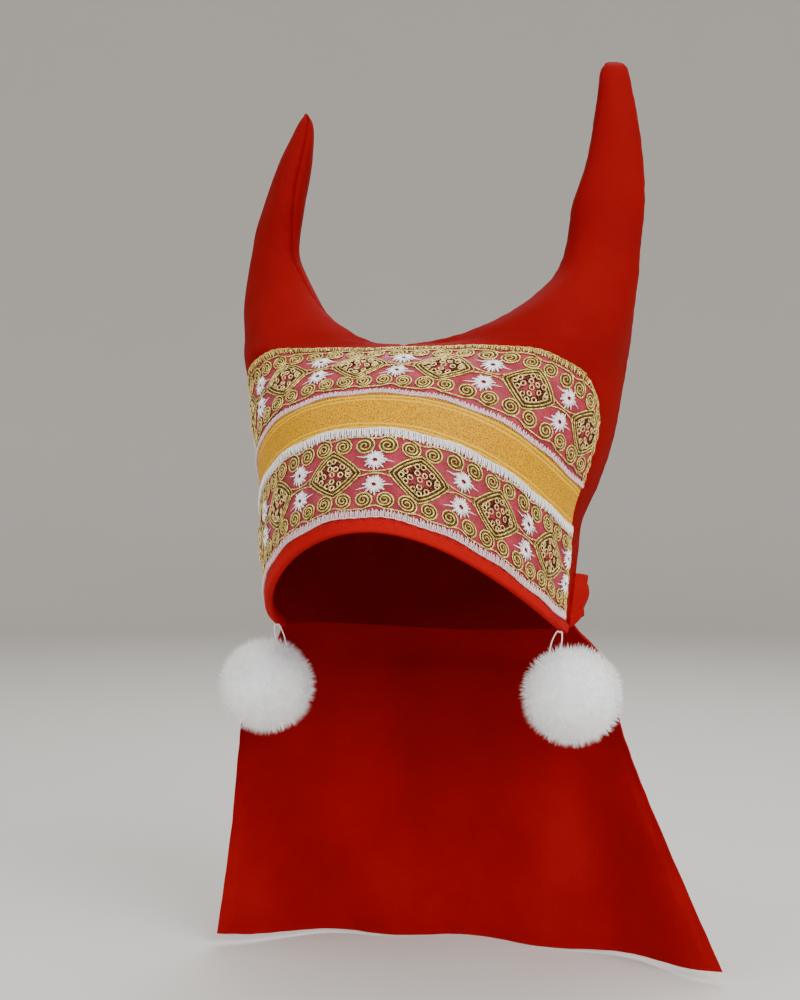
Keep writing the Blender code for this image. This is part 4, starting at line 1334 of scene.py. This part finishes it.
def makeLoop(sideName, v):
    side = sides[sideName]
    centre = np.array(pompoms["centres"][sideName])
    top = onMap(frontMap, side * v["across"], -v["below"], -capForm["wall"] / 2.0)
    rise = pompoms["reach"][0] - v["sink"]
    foot = centre + (-side * v["foot"], -0.001, sqrt(rise ** 2 - v["foot"] ** 2))
    apart = np.array((side * v["spread"], 0.0, -0.0006))
    corners = np.array((foot - apart * 0.6, 0.5 * (foot + top) - apart * 0.75, top - apart * 0.45,
                        top + (0.0, 0.0, 0.0003), top + apart * 0.35,
                        0.5 * (foot + top) + apart * 0.7, foot + apart * 0.5))
    path = throughRows(corners, np.linspace(0.0, len(corners) - 1.0, 90))
    run = lengthsAlong(path, 0)
    ahead = unit(np.gradient(path, axis=0))
    first = unit(np.cross(ahead, (0.0, 1.0, 0.2)))
    second = np.cross(ahead, first)
    strands = []
    for turned in (0.0, pi):
        q = (run * 2.0 * pi / v["twistPitch"] + turned)[:, None]
        around = (first * np.cos(q) + second * np.sin(q)) * v["strand"] * 0.85
        strands.append(thread(path + around, v["strand"], 1))
    loop = joined("pompomLoop" + sideName.title(), *strands)
    setLift(loop, np.ones(len(loop.data.vertices)))
    dressed(loop, "white", "white_thread", "pompom_loop_" + sideName, angle=80.0)


for sideName in sides:
    makeLoop(sideName, loops)
print("loops strung")

# The knot of the ties behind the nape, with its two tails
knot = {
    "above": 0.010,             # of its middle, up the back cloth
    "off": 0.0093,              # from the back cloth
    "size": (0.0130, 0.0062, 0.0100),       # half its width, depth and height
    "wrap": (0.0115, 0.0014),   # width and thickness of the turn round its middle
    "tail": (0.0560, 0.0090, 0.0170, 0.0011),   # length, top width, end width, thickness
}


def knotLump(k, centre):
    bpy.ops.object.select_all(action="DESELECT")
    bpy.ops.mesh.primitive_uv_sphere_add(segments=72, ring_count=40, radius=1.0,
                                         rotation=(0.0, pi / 2.0, 0.0))
    lump = bpy.context.object
    bpy.ops.object.transform_apply(location=False, rotation=True, scale=True)
    ball = getPlaces(lump)
    turn = np.arctan2(ball[:, 2], ball[:, 1])
    waist = 0.80 + 0.20 * smooth(np.abs(ball[:, 0]) / 0.6)
    pleats = 1.0 + 0.055 * np.sin(turn * 9.0 + ball[:, 0] * 3.0) * smooth(np.abs(ball[:, 0]) / 0.5)
    shaped = ball * np.array(k["size"]) * np.c_[np.ones(len(ball)), waist * pleats, waist * pleats]
    shaped += ball * noiseAt(ball, 2.3, 1.7)[:, None] * 0.0012
    setPlaces(lump, shaped + centre)
    setUv(lump, np.c_[shaped[:, 0], turn * 0.010])
    return lump


def knotWrap(k, centre):
    columns, rows = 72, 17
    q = np.linspace(0.0, 2.0 * pi, columns)[None, :]
    v = np.linspace(-1.0, 1.0, rows)[:, None]
    width, thick = k["wrap"]
    folds = 0.0006 * np.sin(v * 8.0 + 0.7 * np.sin(q)) - 0.0010 * v ** 4
    y = (k["size"][1] * 0.86 + folds) * np.cos(q)
    z = (k["size"][2] * 0.90 + folds) * np.sin(q)
    x = v * width / 2.0 + 0.0016 * np.sin(q) + 0.0007 * np.cos(2.0 * q)
    points = np.stack(np.broadcast_arrays(x, y, z), axis=-1) + centre
    metres = np.stack((lengthsAlong(points, 1), lengthsAlong(points, 0)), axis=-1)
    wrap = mended(gridPiece("wrap", columns, rows, points, metres), 1e-6, outward=True)
    return applied(wrap, "SOLIDIFY", thickness=thick, offset=1.0, use_even_offset=False)


def knotTail(k, centre, side):
    columns, rows = 15, 60
    u = np.linspace(-1.0, 1.0, columns)[None, :]
    w = np.linspace(0.0, 1.0, rows)[:, None]
    length, narrow, wide, thick = k["tail"]
    width = narrow + (wide - narrow) * smooth(w / 0.55)
    slant = side * u * 0.0035 * smooth((w - 0.8) / 0.2)
    x = side * (0.0045 + 0.0095 * smooth(w / 0.9)) + u * width / 2.0
    pleat = 0.0011 * np.sin(u * 7.0 + side) * (1.0 - smooth((w - 0.05) / 0.6))
    hem = -0.0004 * np.exp(-((np.abs(u) - 0.60) / 0.08) ** 2)
    y = 0.0020 + 0.0016 * np.sin(w * 4.2 + side * 0.9) + 0.0010 * u * side * w + pleat + hem
    z = -k["size"][2] * 0.55 - w * length * (1.0 - 0.1 * side) + slant
    points = np.stack(np.broadcast_arrays(x, y, z), axis=-1) + centre
    metres = np.stack((lengthsAlong(points, 1), lengthsAlong(points, 0)), axis=-1)
    tail = gridPiece("tail", columns, rows, points, metres)
    applied(tail, "SOLIDIFY", thickness=thick, offset=0.0, use_even_offset=False)
    return applied(tail, "BEVEL", width=0.0003, segments=2, limit_method="ANGLE",
                   angle_limit=radians(60))


def makeKnot(k):
    centre = onMap(backMap, 0.0, k["above"], k["off"])
    tails = [knotTail(k, centre, side) for side in (-1.0, 1.0)]
    whole = joined("tieKnot", knotLump(k, centre), knotWrap(k, centre), *tails)
    dressed(whole, "napeRedWithPaintedLight", "cap_cloth", "tie_knot", angle=70.0)


makeKnot(knot)
print("knot tied")

# Studio: a pale floor that turns up all round, soft lights
studio = {
    "floor": 2.4,
    "bend": 0.9,
    "wall": 3.2,
    "start": 0.02,          # of the floor, the disk that it is drawn out from
    "colour": (0.62, 0.60, 0.57),
    "aimHeight": 0.06,      # that the lights point at
    "lights": (     # name, azimuth, elevation, distance, size, watts
        ("keyLight", 50.0, 28.0, 1.5, 1.1, 30.0),
        ("fillLight", -46.0, 12.0, 1.7, 1.4, 17.0),
        ("backLight", 185.0, 48.0, 1.6, 1.2, 13.0),
        ("topLight", 0.0, 84.0, 1.7, 1.4, 9.0),
    ),
    "sky": 0.72,
}


def makeStudio(s):
    low = cadBox[0][2] - 0.0005
    outline = [(0.0, low), (s["floor"] * 0.5, low), (s["floor"], low)]
    outline += [(s["floor"] + s["bend"] * sin(q), low + s["bend"] * (1.0 - cos(q)))
                for q in np.linspace(0.15, pi / 2.0, 10)]
    outline.append((s["floor"] + s["bend"], low + s["wall"]))
    bpy.ops.object.select_all(action="DESELECT")
    reach = s["floor"] * s["start"]
    bpy.ops.mesh.primitive_circle_add(vertices=96, radius=reach, fill_type="NGON",
                                      location=(0.0, 0.0, low))
    floor = bpy.context.object
    bpy.ops.object.transform_apply(location=True)
    bpy.ops.object.mode_set(mode="EDIT")
    before = outline[0]
    for radius, height in outline[1:]:
        bpy.ops.mesh.extrude_edges_move()
        bpy.ops.transform.resize(value=(radius / reach, radius / reach, 1.0),
                                 center_override=(0.0, 0.0, before[1]))
        bpy.ops.transform.translate(value=(0.0, 0.0, height - before[1]))
        before, reach = (radius, height), radius
    bpy.ops.mesh.select_all(action="SELECT")
    bpy.ops.mesh.normals_make_consistent(inside=True)
    bpy.ops.object.mode_set(mode="OBJECT")
    floor.name = floor.data.name = "studioFloor"
    finish, shader, start = newFinish("paleFloor", {"Roughness": 0.85, "Specular IOR Level": 0.2})
    cloud = grain(start, start.node("TexCoord", out=3), 3.0, 3.0)
    feed(finish, shader, "Base Color",
         cloud.mix((*[c * 0.97 for c in s["colour"]], 1.0), (*s["colour"], 1.0)))
    floor.data.materials.append(finish)
    floor.data.shade_smooth()
    aim = Vector((0.0, 0.0, s["aimHeight"]))
    for name, azimuth, elevation, distance, size, watts in s["lights"]:
        a, e = radians(azimuth), radians(elevation)
        place = aim + Vector((sin(a) * cos(e), -cos(a) * cos(e), sin(e))) * distance
        bpy.ops.object.light_add(type="AREA", location=place)
        light = bpy.context.object
        light.name = name
        light.data.shape = "DISK"
        light.data.size = size
        light.data.energy = watts
        light.rotation_euler = (place - aim).to_track_quat("Z", "Y").to_euler()
    world = bpy.context.scene.world or bpy.data.worlds.new("world")
    bpy.context.scene.world = world
    world.use_nodes = True
    backdrop = world.node_tree.nodes["Background"]
    backdrop.inputs["Color"].default_value = (1.0, 0.98, 0.95, 1.0)
    backdrop.inputs["Strength"].default_value = s["sky"]


makeStudio(studio)
print("studio lit")

bpy.ops.object.select_all(action="DESELECT")
print("finished")
